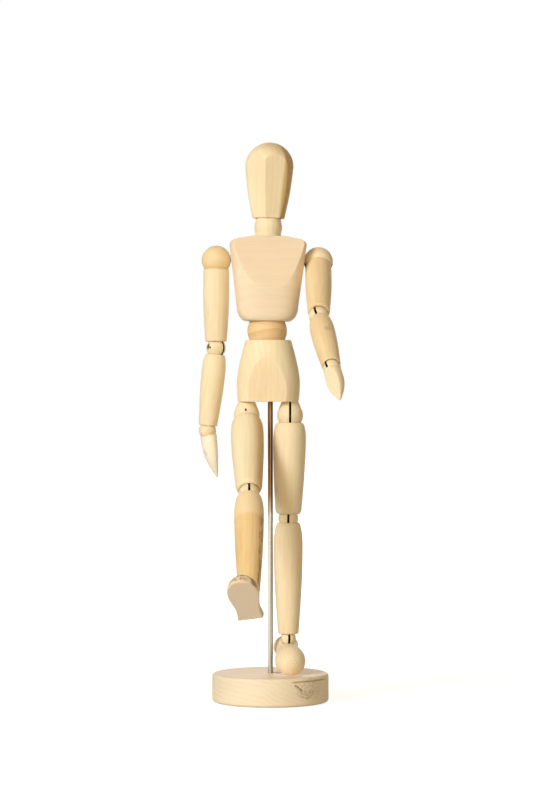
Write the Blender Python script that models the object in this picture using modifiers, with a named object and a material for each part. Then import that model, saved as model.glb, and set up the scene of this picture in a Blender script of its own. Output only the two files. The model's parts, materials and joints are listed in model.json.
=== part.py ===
"""Wooden artist's lay figure, mid-stride on a steel rod and a round base.

Metres, +Z up. The origin is the centre of the base's underside, the figure faces -Y, and its
left is at +X. Every wooden limb is a turned, bored piece; a slotted ball with a cross pin sits
between two limbs, and tension springs with an eye at each end pull the chain together.
"""
import math

import bmesh
import bpy
from mathutils import Matrix, Vector

# Stand
BASE_RADIUS = 0.0346
BASE_THICKNESS = 0.0168
BASE_EDGE_RADIUS = 0.0012
ROD_RADIUS = 0.0015
ROD_DEPTH_IN_BASE = 0.0100
ROD_DEPTH_IN_PELVIS = 0.0120
ROD_FIT = 0.0002

# Trunk
PELVIS_HEIGHT = 0.0366
PELVIS_TOP_HALF_WIDTH = 0.0135
PELVIS_HALF_WIDTH = 0.0188
PELVIS_WIDEST_AT = 0.0120
PELVIS_BOTTOM_HALF_WIDTH = 0.0181
PELVIS_TOP_HALF_DEPTH = 0.0128
PELVIS_BOTTOM_HALF_DEPTH = 0.0124
PELVIS_FACET_TOP = 0.0267
PELVIS_FACET_HALF_WIDTH = 0.0110
PELVIS_OFFSET = 0.0012
PELVIS_CORNER = 0.0005
PELVIS_SQUARENESS = 2.1
SPINE_OFFSET = 0.0019
WAIST_RADIUS = 0.0118
WAIST_REVEAL = 0.0056
WAIST_END_FLAT = 12.0
CHEST_HEIGHT = 0.0505
CHEST_BOTTOM_HALF_WIDTH = 0.0138
CHEST_LOWER_HALF_WIDTH = 0.0180
CHEST_LOWER_AT = 0.0072
CHEST_HALF_WIDTH = 0.0232
CHEST_WIDEST_BELOW_TOP = 0.0050
CHEST_TOP_HALF_WIDTH = 0.0165
CHEST_TOP_DROP = 0.0014
CHEST_SQUARENESS = 2.7
CHEST_BOTTOM_HALF_DEPTH = 0.0130
CHEST_TOP_HALF_DEPTH = 0.0150
CHEST_FACET_BOTTOM = 0.0195
CHEST_FACET_SHARE_AT_WIDEST = 0.92
NECK_RADIUS = 0.0083
NECK_END_RADIUS = 0.0077
NECK_LENGTH = 0.0106
NECK_SEAT = 0.00215
NECK_END_FLAT = 20.0
HEAD_HEIGHT = 0.04505
HEAD_RADIUS = 0.0143
HEAD_BOTTOM_RADIUS = 0.0095
HEAD_BULGE = 0.0006
FACE_FACET_ANGLE = 27.5
FACE_RIDGE_SHARE = 0.95
FACE_RIDGE_SHARE_BELOW = 0.99

# Limbs, measured from pin to pin; each limb's belly is measured from the pin above it
UPPER_ARM_LENGTH = 0.0523
UPPER_ARM_BELLY_RADIUS = 0.0078
UPPER_ARM_BELLY_AT = 0.0181
UPPER_ARM_TAIL_RADIUS = 0.00645
UPPER_ARM_ROUNDING = 0.0008
FOREARM_LENGTH = 0.0494
FOREARM_BELLY_RADIUS = 0.0071
FOREARM_BELLY_AT = 0.0152
FOREARM_TAIL_RADIUS = 0.0055
FOREARM_ROUNDING = 0.0008
THIGH_LENGTH = 0.0611
THIGH_BELLY_RADIUS = 0.0097
THIGH_BELLY_AT = 0.0140
THIGH_TAIL_RADIUS = 0.0079
THIGH_ROUNDING = 0.0040
SHIN_LENGTH = 0.0709
SHIN_BELLY_RADIUS = 0.0086
SHIN_BELLY_AT = 0.0155
SHIN_TAIL_RADIUS = 0.00615
SHIN_ROUNDING = 0.0009
HAND_LENGTH = 0.0284
HAND_BELLY_RADIUS = 0.0052
HAND_BELLY_AT = 0.0105
HAND_TIP_RADIUS = 0.0010
PALM_AT_BELLY = 0.0035
PALM_AT_TIP = 0.0003
FOOT_LENGTH = 0.0297
FOOT_ANKLE_TO_HEEL = 0.0065
FOOT_ANKLE_HEIGHT = 0.0125
FOOT_HEEL_RADIUS = 0.0075
FOOT_WAIST_RADIUS = 0.0069
FOOT_BULB_RADIUS = 0.0089
FOOT_BULB_SETBACK = 0.0104
FOOT_HEEL_AXIS_HEIGHT = 0.0026
FOOT_TOE_AXIS_HEIGHT = {"left": 0.0052, "right": 0.0020}

# Joint balls: radius, and how far the limb rims stay from the pin
SHOULDER_BALL_RADIUS = 0.0087
SHOULDER_REVEAL = 0.0054
SHOULDER_SEAT = 0.0005
SHOULDER_BELOW_TOP = 0.0144
SHOULDER_SET_BACK = 0.0045
ELBOW_BALL_RADIUS = 0.0058
ELBOW_REVEAL = 0.0038
WRIST_BALL_RADIUS = 0.0051
WRIST_REVEAL = 0.0030
HIP_BALL_RADIUS = 0.0077
HIP_REVEAL = 0.0043
HIP_DROP = 0.0081
HIP_NECK_RADIUS = 0.0046
HIP_ROUND_TO = 30.0
HIP_SPACING = 0.0258
KNEE_BALL_RADIUS = 0.0059
KNEE_REVEAL = 0.00255
ANKLE_BALL_RADIUS = 0.0045
ANKLE_REVEAL = 0.0023

# Hardware and clearances
GAP = 0.0003
CUP_GAP = 0.00035
RIM_LAND = 0.00035
PIN_RADIUS = 0.0005
PIN_FIT = 0.00012
PIN_RECESS = 0.0004
PIN_BLIND_SHARE = 0.75
WIRE_RADIUS = 0.0002
EYE_FIT = 0.00015
HOOK_OFFSET = 0.00025
SLOT_WIDTH = 0.00106
SLOT_FIT = 0.0003
SPRING_BORE_RADIUS = 0.0022
COIL_RADIUS = 0.0015
COIL_TURNS = 3
COIL_SHARE = 0.3
COIL_LEAD = 0.0008
HOOK_BORE_RADIUS = 0.0007
HAND_HOOK_LENGTH = 0.0075
FOOT_HOOK_LENGTH = 0.0045
SPINE_BORE_RADIUS = 0.0024
PELVIS_PIN_HEIGHT = 0.0195
SPINE_DEPTH_IN_HEAD = 0.0130
SPINE_COIL_FROM = 0.15
SPINE_COIL_TO = 0.45
SPINE_THREAD_FROM = 0.4
SPINE_THREAD_TO = 0.85

# Pose in degrees: forward and outward are positive, turns and leans are to the figure's left
PELVIS_TURN = -4.0
WAIST_BEND = 0.0
CHEST_TURN = 8.0
CHEST_LEAN = 0.6
NECK_NOD = 0.0
HEAD_TURN = -15.0
HEAD_LEAN = 0.6
ARM_POSE = {
    "left": {"swing": 49.3, "raise": -3.2, "elbow_lean": 9.3, "elbow_turn": -27.0, "elbow_bend": 2.5,
             "wrist_turn": -20.0, "wrist_bend": 0.0},
    "right": {"swing": 0.0, "raise": -0.4, "elbow_lean": -4.5, "elbow_turn": 50.0, "elbow_bend": -1.6,
              "wrist_turn": 30.0, "wrist_bend": 18.5},
}
LEG_POSE = {
    "left": {"hip_turn": 4.0, "hip_swing": 0.0, "hip_lean": -1.0, "knee_lean": 1.0, "knee_turn": 0.0,
             "knee_bend": 0.0, "ankle_turn": 8.0, "ankle_bend": -25.4},
    "right": {"hip_turn": 5.6, "hip_swing": 43.0, "hip_lean": 0.5, "knee_lean": -1.3, "knee_turn": 0.0,
              "knee_bend": -4.5, "ankle_turn": -13.7, "ankle_bend": 11.0},
}
SIDES = {"left": 1.0, "right": -1.0}

# Facets
LIMB_SIDES = 14
BALL_SIDES = 16
CUP_SIDES = 22
TRUNK_SIDES = 28
HEAD_SIDES = 24
BASE_SIDES = 32
WIRE_POINTS_PER_TURN = 6

CHEST_WIDEST_AT = CHEST_HEIGHT - CHEST_WIDEST_BELOW_TOP
SHOULDER_HEIGHT = CHEST_HEIGHT - SHOULDER_BELOW_TOP
EYE_RADIUS = PIN_RADIUS + EYE_FIT + WIRE_RADIUS
SLOT_REACH = EYE_RADIUS + WIRE_RADIUS + SLOT_FIT

PARTS = None
CUTTERS = None


# Scene helpers

def clear_scene():
    for item in list(bpy.data.objects):
        bpy.data.objects.remove(item)


def new_collection(name):
    group = bpy.data.collections.new(name)
    bpy.context.scene.collection.children.link(group)
    return group


def material(name, colour, roughness, metallic=0.0):
    made = bpy.data.materials.new(name)
    made.use_nodes = True
    shader = made.node_tree.nodes["Principled BSDF"]
    shader.inputs["Base Color"].default_value = (*colour, 1.0)
    shader.inputs["Roughness"].default_value = roughness
    shader.inputs["Metallic"].default_value = metallic
    return made


def place(item, parent, matrix):
    """Parent an object and set its place in the parent's own frame."""
    item.parent = parent
    item.matrix_parent_inverse = Matrix.Identity(4)
    item.matrix_basis = matrix


def new_part(name, data, finish, parent=None, matrix=None):
    data.materials.clear()
    data.materials.append(finish)
    item = bpy.data.objects.new(name, data)
    PARTS.objects.link(item)
    place(item, parent, matrix or Matrix.Identity(4))
    return item


def cut(item, cutter_mesh, matrix=None):
    """Take a hidden cutter's shape out of a piece; the cutter stays with the piece."""
    cutter = bpy.data.objects.new(item.name + "_cutter", cutter_mesh)
    CUTTERS.objects.link(cutter)
    cutter.hide_render = True
    cutter.display_type = 'WIRE'
    place(cutter, item, matrix or Matrix.Identity(4))
    boolean = item.modifiers.new("cut", 'BOOLEAN')
    boolean.operation = 'DIFFERENCE'
    boolean.solver = 'EXACT'
    boolean.object = cutter


def turn(axis, degrees):
    return Matrix.Rotation(math.radians(degrees), 4, axis)


def shift(x=0.0, y=0.0, z=0.0):
    return Matrix.Translation((x, y, z))


# Mesh helpers

def evaluated_mesh(item):
    """The object's mesh with its modifiers applied; the object is removed."""
    bpy.context.scene.collection.objects.link(item)
    depsgraph = bpy.context.evaluated_depsgraph_get()
    mesh = bpy.data.meshes.new_from_object(item.evaluated_get(depsgraph))
    bpy.data.objects.remove(item)
    return mesh


def smooth(mesh):
    mesh.shade_smooth()
    mesh.set_sharp_from_angle(angle=math.radians(35.0))
    return mesh


def turned(profile, sides, closed=False):
    """Turn a profile of (radius, height) points about Z, outer side running down."""
    edges = [(i, i + 1) for i in range(len(profile) - 1)]
    if closed:
        edges.append((len(profile) - 1, 0))
    outline = bpy.data.meshes.new("profile")
    outline.from_pydata([(radius, 0.0, height) for radius, height in profile], edges, [])
    item = bpy.data.objects.new("profile", outline)
    screw = item.modifiers.new("turn", 'SCREW')
    screw.steps = sides
    screw.render_steps = sides
    screw.use_merge_vertices = True
    screw.merge_threshold = 0.000002
    return smooth(evaluated_mesh(item))


def box(low, high):
    mesh = bpy.data.meshes.new("box")
    shape = bmesh.new()
    bmesh.ops.create_cube(shape, size=1.0)
    low = Vector(low)
    high = Vector(high)
    for vertex in shape.verts:
        for i in range(3):
            vertex.co[i] = low[i] + (vertex.co[i] + 0.5) * (high[i] - low[i])
    shape.to_mesh(mesh)
    shape.free()
    return mesh


def cylinder(radius, start, end, axis='Z', sides=12):
    """A closed cylinder along one axis, from start to end on that axis."""
    mesh = bpy.data.meshes.new("cylinder")
    shape = bmesh.new()
    bmesh.ops.create_cone(shape, cap_ends=True, segments=sides, radius1=radius, radius2=radius,
                          depth=end - start)
    mesh_turn = {'X': turn('Y', 90.0), 'Y': turn('X', -90.0), 'Z': Matrix.Identity(4)}[axis]
    bmesh.ops.transform(shape, matrix=mesh_turn @ shift(z=(start + end) / 2.0), verts=shape.verts)
    shape.to_mesh(mesh)
    shape.free()
    return smooth(mesh)


def ball(radius, sides=CUP_SIDES):
    return turned(arc((0.0, 0.0), radius, 90.0, -90.0, sides // 2), sides)


def plate(outline, thickness):
    """A flat outline of (y, z) points, thickened evenly about X = 0."""
    mesh = bpy.data.meshes.new("plate")
    shape = bmesh.new()
    face = shape.faces.new([shape.verts.new((-thickness / 2.0, y, z)) for y, z in outline])
    grown = bmesh.ops.extrude_face_region(shape, geom=[face])
    moved = [piece for piece in grown["geom"] if isinstance(piece, bmesh.types.BMVert)]
    bmesh.ops.translate(shape, vec=(thickness, 0.0, 0.0), verts=moved)
    bmesh.ops.recalc_face_normals(shape, faces=shape.faces)
    shape.to_mesh(mesh)
    shape.free()
    return mesh


def arc(centre, radius, start, end, steps):
    """Points of a circle in the profile plane; angles in degrees up from the horizontal."""
    points = []
    for i in range(steps + 1):
        angle = math.radians(start + (end - start) * i / steps)
        points.append((max(0.0, centre[0] + radius * math.cos(angle)),
                       centre[1] + radius * math.sin(angle)))
    return points


def wire(name, points, finish, parent):
    """A round wire along a list of points in the parent's frame."""
    curve = bpy.data.curves.new(name, 'CURVE')
    curve.dimensions = '3D'
    curve.bevel_depth = WIRE_RADIUS
    curve.bevel_resolution = 0
    curve.use_fill_caps = True
    spline = curve.splines.new('POLY')
    spline.points.add(len(points) - 1)
    for point, place_at in zip(spline.points, points):
        point.co = (*place_at, 1.0)
    return new_part(name, curve, finish, parent)


# Springs and eyes

def eye(pin_at, towards, offset, turn_degrees):
    """An open eye round a pin along X, from its free end to its shank.

    towards is +1 or -1, the side in Z that the shank leaves on, and offset is the eye's place
    along the pin.
    """
    steps = 6
    sweep = math.radians(300.0)
    points = []
    for i in range(steps + 1):
        angle = sweep * (1.0 - i / steps)
        points.append(Vector((offset, EYE_RADIUS * math.sin(angle),
                              towards * EYE_RADIUS * math.cos(angle))))
    spun = Matrix.Rotation(math.radians(turn_degrees), 3, 'Z')
    return [spun @ point + Vector(pin_at) for point in points]


def coil(x, y, top, bottom):
    """A helix of whole turns between two heights."""
    count = COIL_TURNS * WIRE_POINTS_PER_TURN
    points = []
    for i in range(count + 1):
        angle = 2.0 * math.pi * COIL_TURNS * i / count
        points.append(Vector((x + COIL_RADIUS * math.cos(angle), y + COIL_RADIUS * math.sin(angle),
                              top + (bottom - top) * i / count)))
    return points


def tension_spring(upper_pin, upper_turn, lower_ball, lower_radius):
    """Eye, shank, coil, shank and eye, from one pin down to the ball whose frame is lower_ball."""
    upper = eye(upper_pin, -1.0, HOOK_OFFSET, upper_turn)
    lower = [lower_ball @ point for point in eye((0.0, 0.0, 0.0), 1.0, -HOOK_OFFSET, 0.0)]
    way_out = lower_ball @ Vector((-HOOK_OFFSET, 0.0, lower_radius + GAP))
    low = lower_ball.translation.z
    middle = (upper_pin[2] + low) / 2.0
    half_coil = COIL_SHARE * (upper_pin[2] - low) / 2.0
    winding = coil(upper_pin[0], upper_pin[1], middle + half_coil, middle - half_coil)
    upper_shank = Vector((upper[-1].x, upper[-1].y, winding[0].z + COIL_LEAD))
    lower_shank = Vector((upper_pin[0], upper_pin[1], winding[-1].z - COIL_LEAD))
    return upper + [upper_shank] + winding + [lower_shank, way_out] + lower[::-1]


# Turned wooden pieces

def rim_radius(ball_radius, reveal):
    return math.sqrt((ball_radius + CUP_GAP) ** 2 - reveal ** 2)


def cup(ball_radius, reveal, centre, upward, bore):
    """Points of a ball's cup from its rim to the bore, in the half below or above its centre."""
    radius = ball_radius + CUP_GAP
    rim = math.asin(rim_radius(ball_radius, reveal) / radius)
    inner = math.asin(bore / radius)
    steps = 3
    points = []
    for i in range(steps + 1):
        angle = rim + (inner - rim) * i / steps
        points.append((radius * math.sin(angle), centre + upward * radius * math.cos(angle)))
    return points


def swell(start, end, steps, rising):
    """A quarter ellipse between two outline points, level at its wider end."""
    points = []
    for i in range(steps + 1):
        angle = math.pi / 2.0 * i / steps
        across = math.sin(angle) if rising else 1.0 - math.cos(angle)
        along = 1.0 - math.cos(angle) if rising else math.sin(angle)
        points.append((start[0] + (end[0] - start[0]) * across, start[1] + (end[1] - start[1]) * along))
    return points


def taper(start, end, steps):
    """An outline that leaves the belly level and narrows more and more."""
    points = []
    for i in range(steps + 1):
        share = i / steps
        ease = 1.0 - math.cos(math.pi / 2.0 * share)
        points.append((start[0] + (end[0] - start[0]) * ease, start[1] + (end[1] - start[1]) * share))
    return points


def limb(upper_ball, upper_reveal, lower_ball, lower_reveal, length, belly, belly_at, tail, rounding):
    """A turned limb with a cup at each end and a spring bore right through, origin at its upper pin."""
    bottom = -length + lower_reveal
    upper_cup = cup(upper_ball, upper_reveal, 0.0, -1.0, SPRING_BORE_RADIUS)
    lower_cup = cup(lower_ball, lower_reveal, -length, 1.0, SPRING_BORE_RADIUS)
    top_rim = (upper_cup[0][0] + RIM_LAND, -upper_reveal)
    bottom_rim = (lower_cup[0][0] + RIM_LAND, bottom)
    outline = swell(top_rim, (belly, -belly_at), 4, True)
    outline += taper((belly, -belly_at), (tail, bottom + rounding), 3)[1:]
    outline += swell((tail, bottom + rounding), bottom_rim, 3, False)[1:]
    return turned(outline + lower_cup + upper_cup[::-1], LIMB_SIDES, closed=True)


def joint_ball(name, radius, finish, pin_finish, parent, matrix, neck=None, slot_to=-1.0, pin_from=0.0):
    """A slotted ball with its cross pin. The slot opens to one side in Y and to the lower side.

    neck is a flat top's radius and height, slot_to is -1 for a slot that opens to the front and 1 to
    the back, and pin_from is 0 for a pin hole right through, or the X end that a blind one opens to.
    """
    profile = arc((0.0, 0.0), radius, 90.0, -90.0, BALL_SIDES // 2)
    top = radius
    if neck:
        neck_radius, top = neck
        round_part = arc((0.0, 0.0), radius, HIP_ROUND_TO, -90.0, 7)
        profile = [(0.0, top), (neck_radius, top)]
        for share in (0.9, 0.6, 0.3):
            profile.append((neck_radius + (round_part[0][0] - neck_radius) * math.sqrt(1.0 - share ** 2),
                            between(round_part[0][1], top, share)))
        profile += round_part
    item = new_part(name, turned(profile, BALL_SIDES), finish, parent, matrix)
    beyond = top + radius
    slot = [(-beyond, -beyond), (beyond, -beyond), (beyond, SLOT_REACH), (SLOT_REACH, SLOT_REACH),
            (SLOT_REACH, beyond), (-beyond, beyond)]
    cut(item, plate([(-slot_to * y, z) for y, z in slot], SLOT_WIDTH))
    blind = radius * PIN_BLIND_SHARE
    hole = [-blind if pin_from > 0.0 else -beyond, blind if pin_from < 0.0 else beyond]
    cut(item, cylinder(PIN_RADIUS + PIN_FIT, hole[0], hole[1], 'X', 8))
    ends = [max(hole[0] + GAP, PIN_RECESS - radius), min(hole[1] - GAP, radius - PIN_RECESS)]
    pin_name = name.replace("_ball", "_pin")
    new_part(pin_name, cylinder(PIN_RADIUS, ends[0], ends[1], 'X', 8), pin_finish, item)
    return item


def squared(mesh, squareness, half_depths):
    """Press a turned mesh into the trunk's squarer sections; a squareness of 2 is an ellipse.

    half_depths gives the half depth over the half width at a height.
    """
    power = 2.0 / squareness
    for vertex in mesh.vertices:
        radius = math.hypot(vertex.co.x, vertex.co.y)
        if radius < 1e-7:
            continue
        across = vertex.co.x / radius
        along = vertex.co.y / radius
        vertex.co.x = math.copysign(abs(across) ** power, across) * radius
        vertex.co.y = math.copysign(abs(along) ** power, along) * radius * half_depths(vertex.co.z)
    return smooth(mesh)


def between(low, high, share):
    return low + (high - low) * min(1.0, max(0.0, share))


# Stand

def make_base(finish):
    edge = BASE_EDGE_RADIUS
    top = arc((BASE_RADIUS - edge, BASE_THICKNESS - edge), edge, 90.0, 0.0, 3)
    bottom = arc((BASE_RADIUS - edge, edge), edge, 0.0, -90.0, 3)
    profile = [(0.0, BASE_THICKNESS)] + top + bottom + [(0.0, 0.0)]
    base = new_part("base_disc", turned(profile, BASE_SIDES), finish)
    hole_bottom = BASE_THICKNESS - ROD_DEPTH_IN_BASE
    cut(base, cylinder(ROD_RADIUS + ROD_FIT, hole_bottom - GAP, BASE_THICKNESS + GAP))
    return base


def make_rod(finish, pelvis_bottom):
    low = BASE_THICKNESS - ROD_DEPTH_IN_BASE
    high = pelvis_bottom + ROD_DEPTH_IN_PELVIS - GAP
    return new_part("support_rod", cylinder(ROD_RADIUS, low, high), finish)


# Trunk; the pelvis has its origin on the rod's axis at its underside

def pelvis_depth(height):
    depth = between(PELVIS_BOTTOM_HALF_DEPTH, PELVIS_TOP_HALF_DEPTH, height / PELVIS_HEIGHT)
    return depth / pelvis_half_width(height)


def pelvis_half_width(height):
    if height < PELVIS_WIDEST_AT:
        return between(PELVIS_BOTTOM_HALF_WIDTH, PELVIS_HALF_WIDTH, height / PELVIS_WIDEST_AT)
    share = (height - PELVIS_WIDEST_AT) / (PELVIS_HEIGHT - PELVIS_WIDEST_AT)
    return PELVIS_HALF_WIDTH + (PELVIS_TOP_HALF_WIDTH - PELVIS_HALF_WIDTH) * share ** 1.4


def make_pelvis(finish, pin_finish):
    corner = PELVIS_CORNER
    profile = [(0.0, PELVIS_HEIGHT), (PELVIS_TOP_HALF_WIDTH, PELVIS_HEIGHT)]
    rows = 6
    for i in range(1, rows + 1):
        height = PELVIS_HEIGHT + (corner - PELVIS_HEIGHT) * i / rows
        profile.append((pelvis_half_width(height), height))
    profile += [(PELVIS_BOTTOM_HALF_WIDTH - corner, 0.0), (0.0, 0.0)]
    mesh = squared(turned(profile, TRUNK_SIDES), PELVIS_SQUARENESS, pelvis_depth)
    mesh.transform(shift(x=-PELVIS_OFFSET))
    pelvis = new_part("pelvis", mesh, finish)
    cut(pelvis, ball(WAIST_RADIUS + CUP_GAP), shift(-SPINE_OFFSET, 0.0, PELVIS_HEIGHT + WAIST_REVEAL))
    low = -PELVIS_BOTTOM_HALF_DEPTH * (1.0 - (PELVIS_FACET_HALF_WIDTH / PELVIS_BOTTOM_HALF_WIDTH)
                                       ** PELVIS_SQUARENESS) ** (1.0 / PELVIS_SQUARENESS)
    high = -pelvis_depth(PELVIS_FACET_TOP) * pelvis_half_width(PELVIS_FACET_TOP)
    lean = math.degrees(math.atan2(low - high, PELVIS_FACET_TOP))
    reach = 2.0 * PELVIS_HEIGHT
    cut(pelvis, box((-reach, -reach, -reach), (reach, 0.0, reach)),
        shift(-PELVIS_OFFSET, low, 0.0) @ turn('X', lean))
    pin_at = PELVIS_PIN_HEIGHT
    roof = pin_at + SLOT_REACH + GAP
    floor = pin_at - SLOT_REACH - GAP
    # The hip bores are turned half a facet, so that no corner lies on the pelvis's middle line
    for side in SIDES.values():
        bore_at = shift(side * HIP_SPACING / 2.0 - PELVIS_OFFSET, 0.0, 0.0)
        cut(pelvis, cylinder(SPRING_BORE_RADIUS, -GAP, roof), bore_at @ turn('Z', 15.0))
    cut(pelvis, cylinder(SPINE_BORE_RADIUS, floor, PELVIS_HEIGHT), shift(x=-SPINE_OFFSET))
    cut(pelvis, cylinder(ROD_RADIUS + ROD_FIT, -GAP, ROD_DEPTH_IN_PELVIS))
    half_pin = pelvis_half_width(pin_at) - PIN_RECESS
    cut(pelvis, cylinder(PIN_RADIUS + PIN_FIT, -reach, reach, 'X', 8), shift(z=pin_at))
    new_part("pelvis_pin", cylinder(PIN_RADIUS, -half_pin, half_pin, 'X', 8), pin_finish, pelvis,
             shift(-PELVIS_OFFSET, 0.0, pin_at))
    return pelvis


def make_waist(finish, pelvis):
    round_to = 90.0 - WAIST_END_FLAT
    profile = arc((0.0, 0.0), WAIST_RADIUS, round_to, -round_to, 8)
    bore = [(SPINE_BORE_RADIUS, profile[-1][1]), (SPINE_BORE_RADIUS, profile[0][1])]
    mesh = turned(profile + bore, BALL_SIDES, closed=True)
    matrix = shift(-SPINE_OFFSET, 0.0, PELVIS_HEIGHT + WAIST_REVEAL) @ turn('X', -WAIST_BEND)
    return new_part("waist_ball", mesh, finish, pelvis, matrix)


def chest_half_width(height):
    if height < CHEST_LOWER_AT:
        share = height / CHEST_LOWER_AT
        return between(CHEST_BOTTOM_HALF_WIDTH, CHEST_LOWER_HALF_WIDTH, math.sin(math.pi / 2.0 * share))
    share = (height - CHEST_LOWER_AT) / (CHEST_WIDEST_AT - CHEST_LOWER_AT)
    if share < 1.0:
        return between(CHEST_LOWER_HALF_WIDTH, CHEST_HALF_WIDTH, share)
    shoulder_drop = CHEST_HEIGHT - CHEST_TOP_DROP - CHEST_WIDEST_AT
    share = min(1.0, (height - CHEST_WIDEST_AT) / shoulder_drop)
    return CHEST_TOP_HALF_WIDTH + (CHEST_HALF_WIDTH - CHEST_TOP_HALF_WIDTH) * math.sqrt(1.0 - share ** 2)


def chest_half_depth(height):
    return between(CHEST_BOTTOM_HALF_DEPTH, CHEST_TOP_HALF_DEPTH, height / CHEST_FACET_BOTTOM)


def make_chest(finish, waist):
    """The chest's own heights count from its underside; its origin is the waist ball's centre."""
    shoulder_top = CHEST_HEIGHT - CHEST_TOP_DROP
    profile = [(0.0, CHEST_HEIGHT), (NECK_END_RADIUS + 2.0 * CUP_GAP + RIM_LAND, CHEST_HEIGHT)]
    heights = [between(shoulder_top, CHEST_WIDEST_AT, 1.0 - math.cos(math.pi / 2.0 * i / 3.0))
               for i in range(4)]
    heights += [between(CHEST_WIDEST_AT, CHEST_LOWER_AT, i / 4.0) for i in range(1, 5)]
    heights += [CHEST_LOWER_AT * (1.0 - math.sin(math.pi / 6.0 * i)) for i in range(1, 4)]
    profile += [(chest_half_width(height), height) for height in heights]
    profile.append((0.0, 0.0))
    mesh = squared(turned(profile, TRUNK_SIDES), CHEST_SQUARENESS,
                   lambda height: chest_half_depth(height) / chest_half_width(height))
    mesh.transform(shift(z=WAIST_REVEAL))
    matrix = turn('Z', CHEST_TURN) @ turn('Y', CHEST_LEAN)
    chest = new_part("chest", mesh, finish, waist, matrix)
    cut(chest, ball(WAIST_RADIUS + CUP_GAP))
    top = WAIST_REVEAL + CHEST_HEIGHT
    cut(chest, ball(NECK_END_RADIUS + CUP_GAP), shift(z=top + NECK_SEAT))
    share = CHEST_FACET_SHARE_AT_WIDEST
    high = -CHEST_TOP_HALF_DEPTH * (1.0 - share ** CHEST_SQUARENESS) ** (1.0 / CHEST_SQUARENESS)
    low = -chest_half_depth(CHEST_FACET_BOTTOM)
    lean = math.degrees(math.atan2(high - low, CHEST_WIDEST_AT - CHEST_FACET_BOTTOM))
    reach = 2.0 * CHEST_HEIGHT
    cut(chest, box((-reach, -reach, -reach), (reach, 0.0, reach)),
        shift(0.0, low, WAIST_REVEAL + CHEST_FACET_BOTTOM) @ turn('X', -lean))
    cut(chest, cylinder(SPINE_BORE_RADIUS, 0.0, reach))
    for side in SIDES.values():
        cut(chest, ball(SHOULDER_BALL_RADIUS + CUP_GAP), shoulder_place(side))
    cut(chest, cylinder(SPRING_BORE_RADIUS, -reach, reach, 'X'),
        shift(0.0, SHOULDER_SET_BACK, WAIST_REVEAL + SHOULDER_HEIGHT))
    return chest


def shoulder_place(side):
    out = chest_half_width(SHOULDER_HEIGHT) + SHOULDER_BALL_RADIUS + CUP_GAP - SHOULDER_SEAT
    return shift(side * out, SHOULDER_SET_BACK, WAIST_REVEAL + SHOULDER_HEIGHT)


def shoulder_frame(name):
    """A shoulder ball's frame on the chest: its top faces the chest, its front faces down the arm."""
    side = SIDES[name]
    facing = Matrix(((0.0, 0.0, -side), (-side, 0.0, 0.0), (0.0, 1.0, 0.0))).to_4x4()
    return shoulder_place(side) @ turn('X', -ARM_POSE[name]["swing"]) @ facing


def make_neck(finish, chest):
    """A barrel with a round end in the chest and in the head; it nods about its lower end's centre."""
    span = NECK_LENGTH - 2.0 * NECK_SEAT
    bulge = NECK_RADIUS - NECK_END_RADIUS
    round_to = 90.0 - NECK_END_FLAT
    profile = arc((0.0, span), NECK_END_RADIUS, round_to, 0.0, 4)
    for i in range(1, 4):
        share = i / 4.0
        profile.append((NECK_END_RADIUS + bulge * math.sin(math.pi * share), span * (1.0 - share)))
    profile += arc((0.0, 0.0), NECK_END_RADIUS, 0.0, -round_to, 4)
    bore = [(SPINE_BORE_RADIUS, profile[-1][1]), (SPINE_BORE_RADIUS, profile[0][1])]
    mesh = turned(profile + bore, BALL_SIDES, closed=True)
    matrix = shift(z=WAIST_REVEAL + CHEST_HEIGHT + NECK_SEAT) @ turn('X', -NECK_NOD)
    return new_part("neck_barrel", mesh, finish, chest, matrix)


def make_head(finish, neck):
    """A tapered egg with two flat facets that meet in a ridge down the face."""
    crown = HEAD_HEIGHT - HEAD_RADIUS
    profile = arc((0.0, crown), HEAD_RADIUS, 90.0, 0.0, 7)
    for i in range(1, 4):
        share = i / 3.0
        bulge = HEAD_BULGE * math.sin(math.pi * share)
        profile.append((between(HEAD_RADIUS, HEAD_BOTTOM_RADIUS, share) + bulge, crown * (1.0 - share)))
    profile.append((0.0, 0.0))
    mesh = turned(profile, HEAD_SIDES)
    mesh.transform(shift(z=NECK_SEAT))
    matrix = shift(z=NECK_LENGTH - 2.0 * NECK_SEAT) @ turn('Z', HEAD_TURN) @ turn('Y', HEAD_LEAN)
    head = new_part("head", mesh, finish, neck, matrix)
    cut(head, ball(NECK_END_RADIUS + CUP_GAP))
    cut(head, cylinder(SPINE_BORE_RADIUS, 0.0, NECK_SEAT + SPINE_DEPTH_IN_HEAD))
    across = math.cos(math.radians(FACE_FACET_ANGLE))
    low = HEAD_BOTTOM_RADIUS * FACE_RIDGE_SHARE_BELOW * across
    high = HEAD_RADIUS * FACE_RIDGE_SHARE * across
    lean = math.degrees(math.atan2(high - low, crown))
    reach = 2.0 * HEAD_HEIGHT
    for side in SIDES.values():
        facing = turn('Z', side * FACE_FACET_ANGLE)
        cut(head, box((-reach, -reach, -reach), (reach, 0.0, reach)),
            shift(z=NECK_SEAT) @ facing @ shift(y=-low) @ turn('X', lean))
    return head


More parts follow.
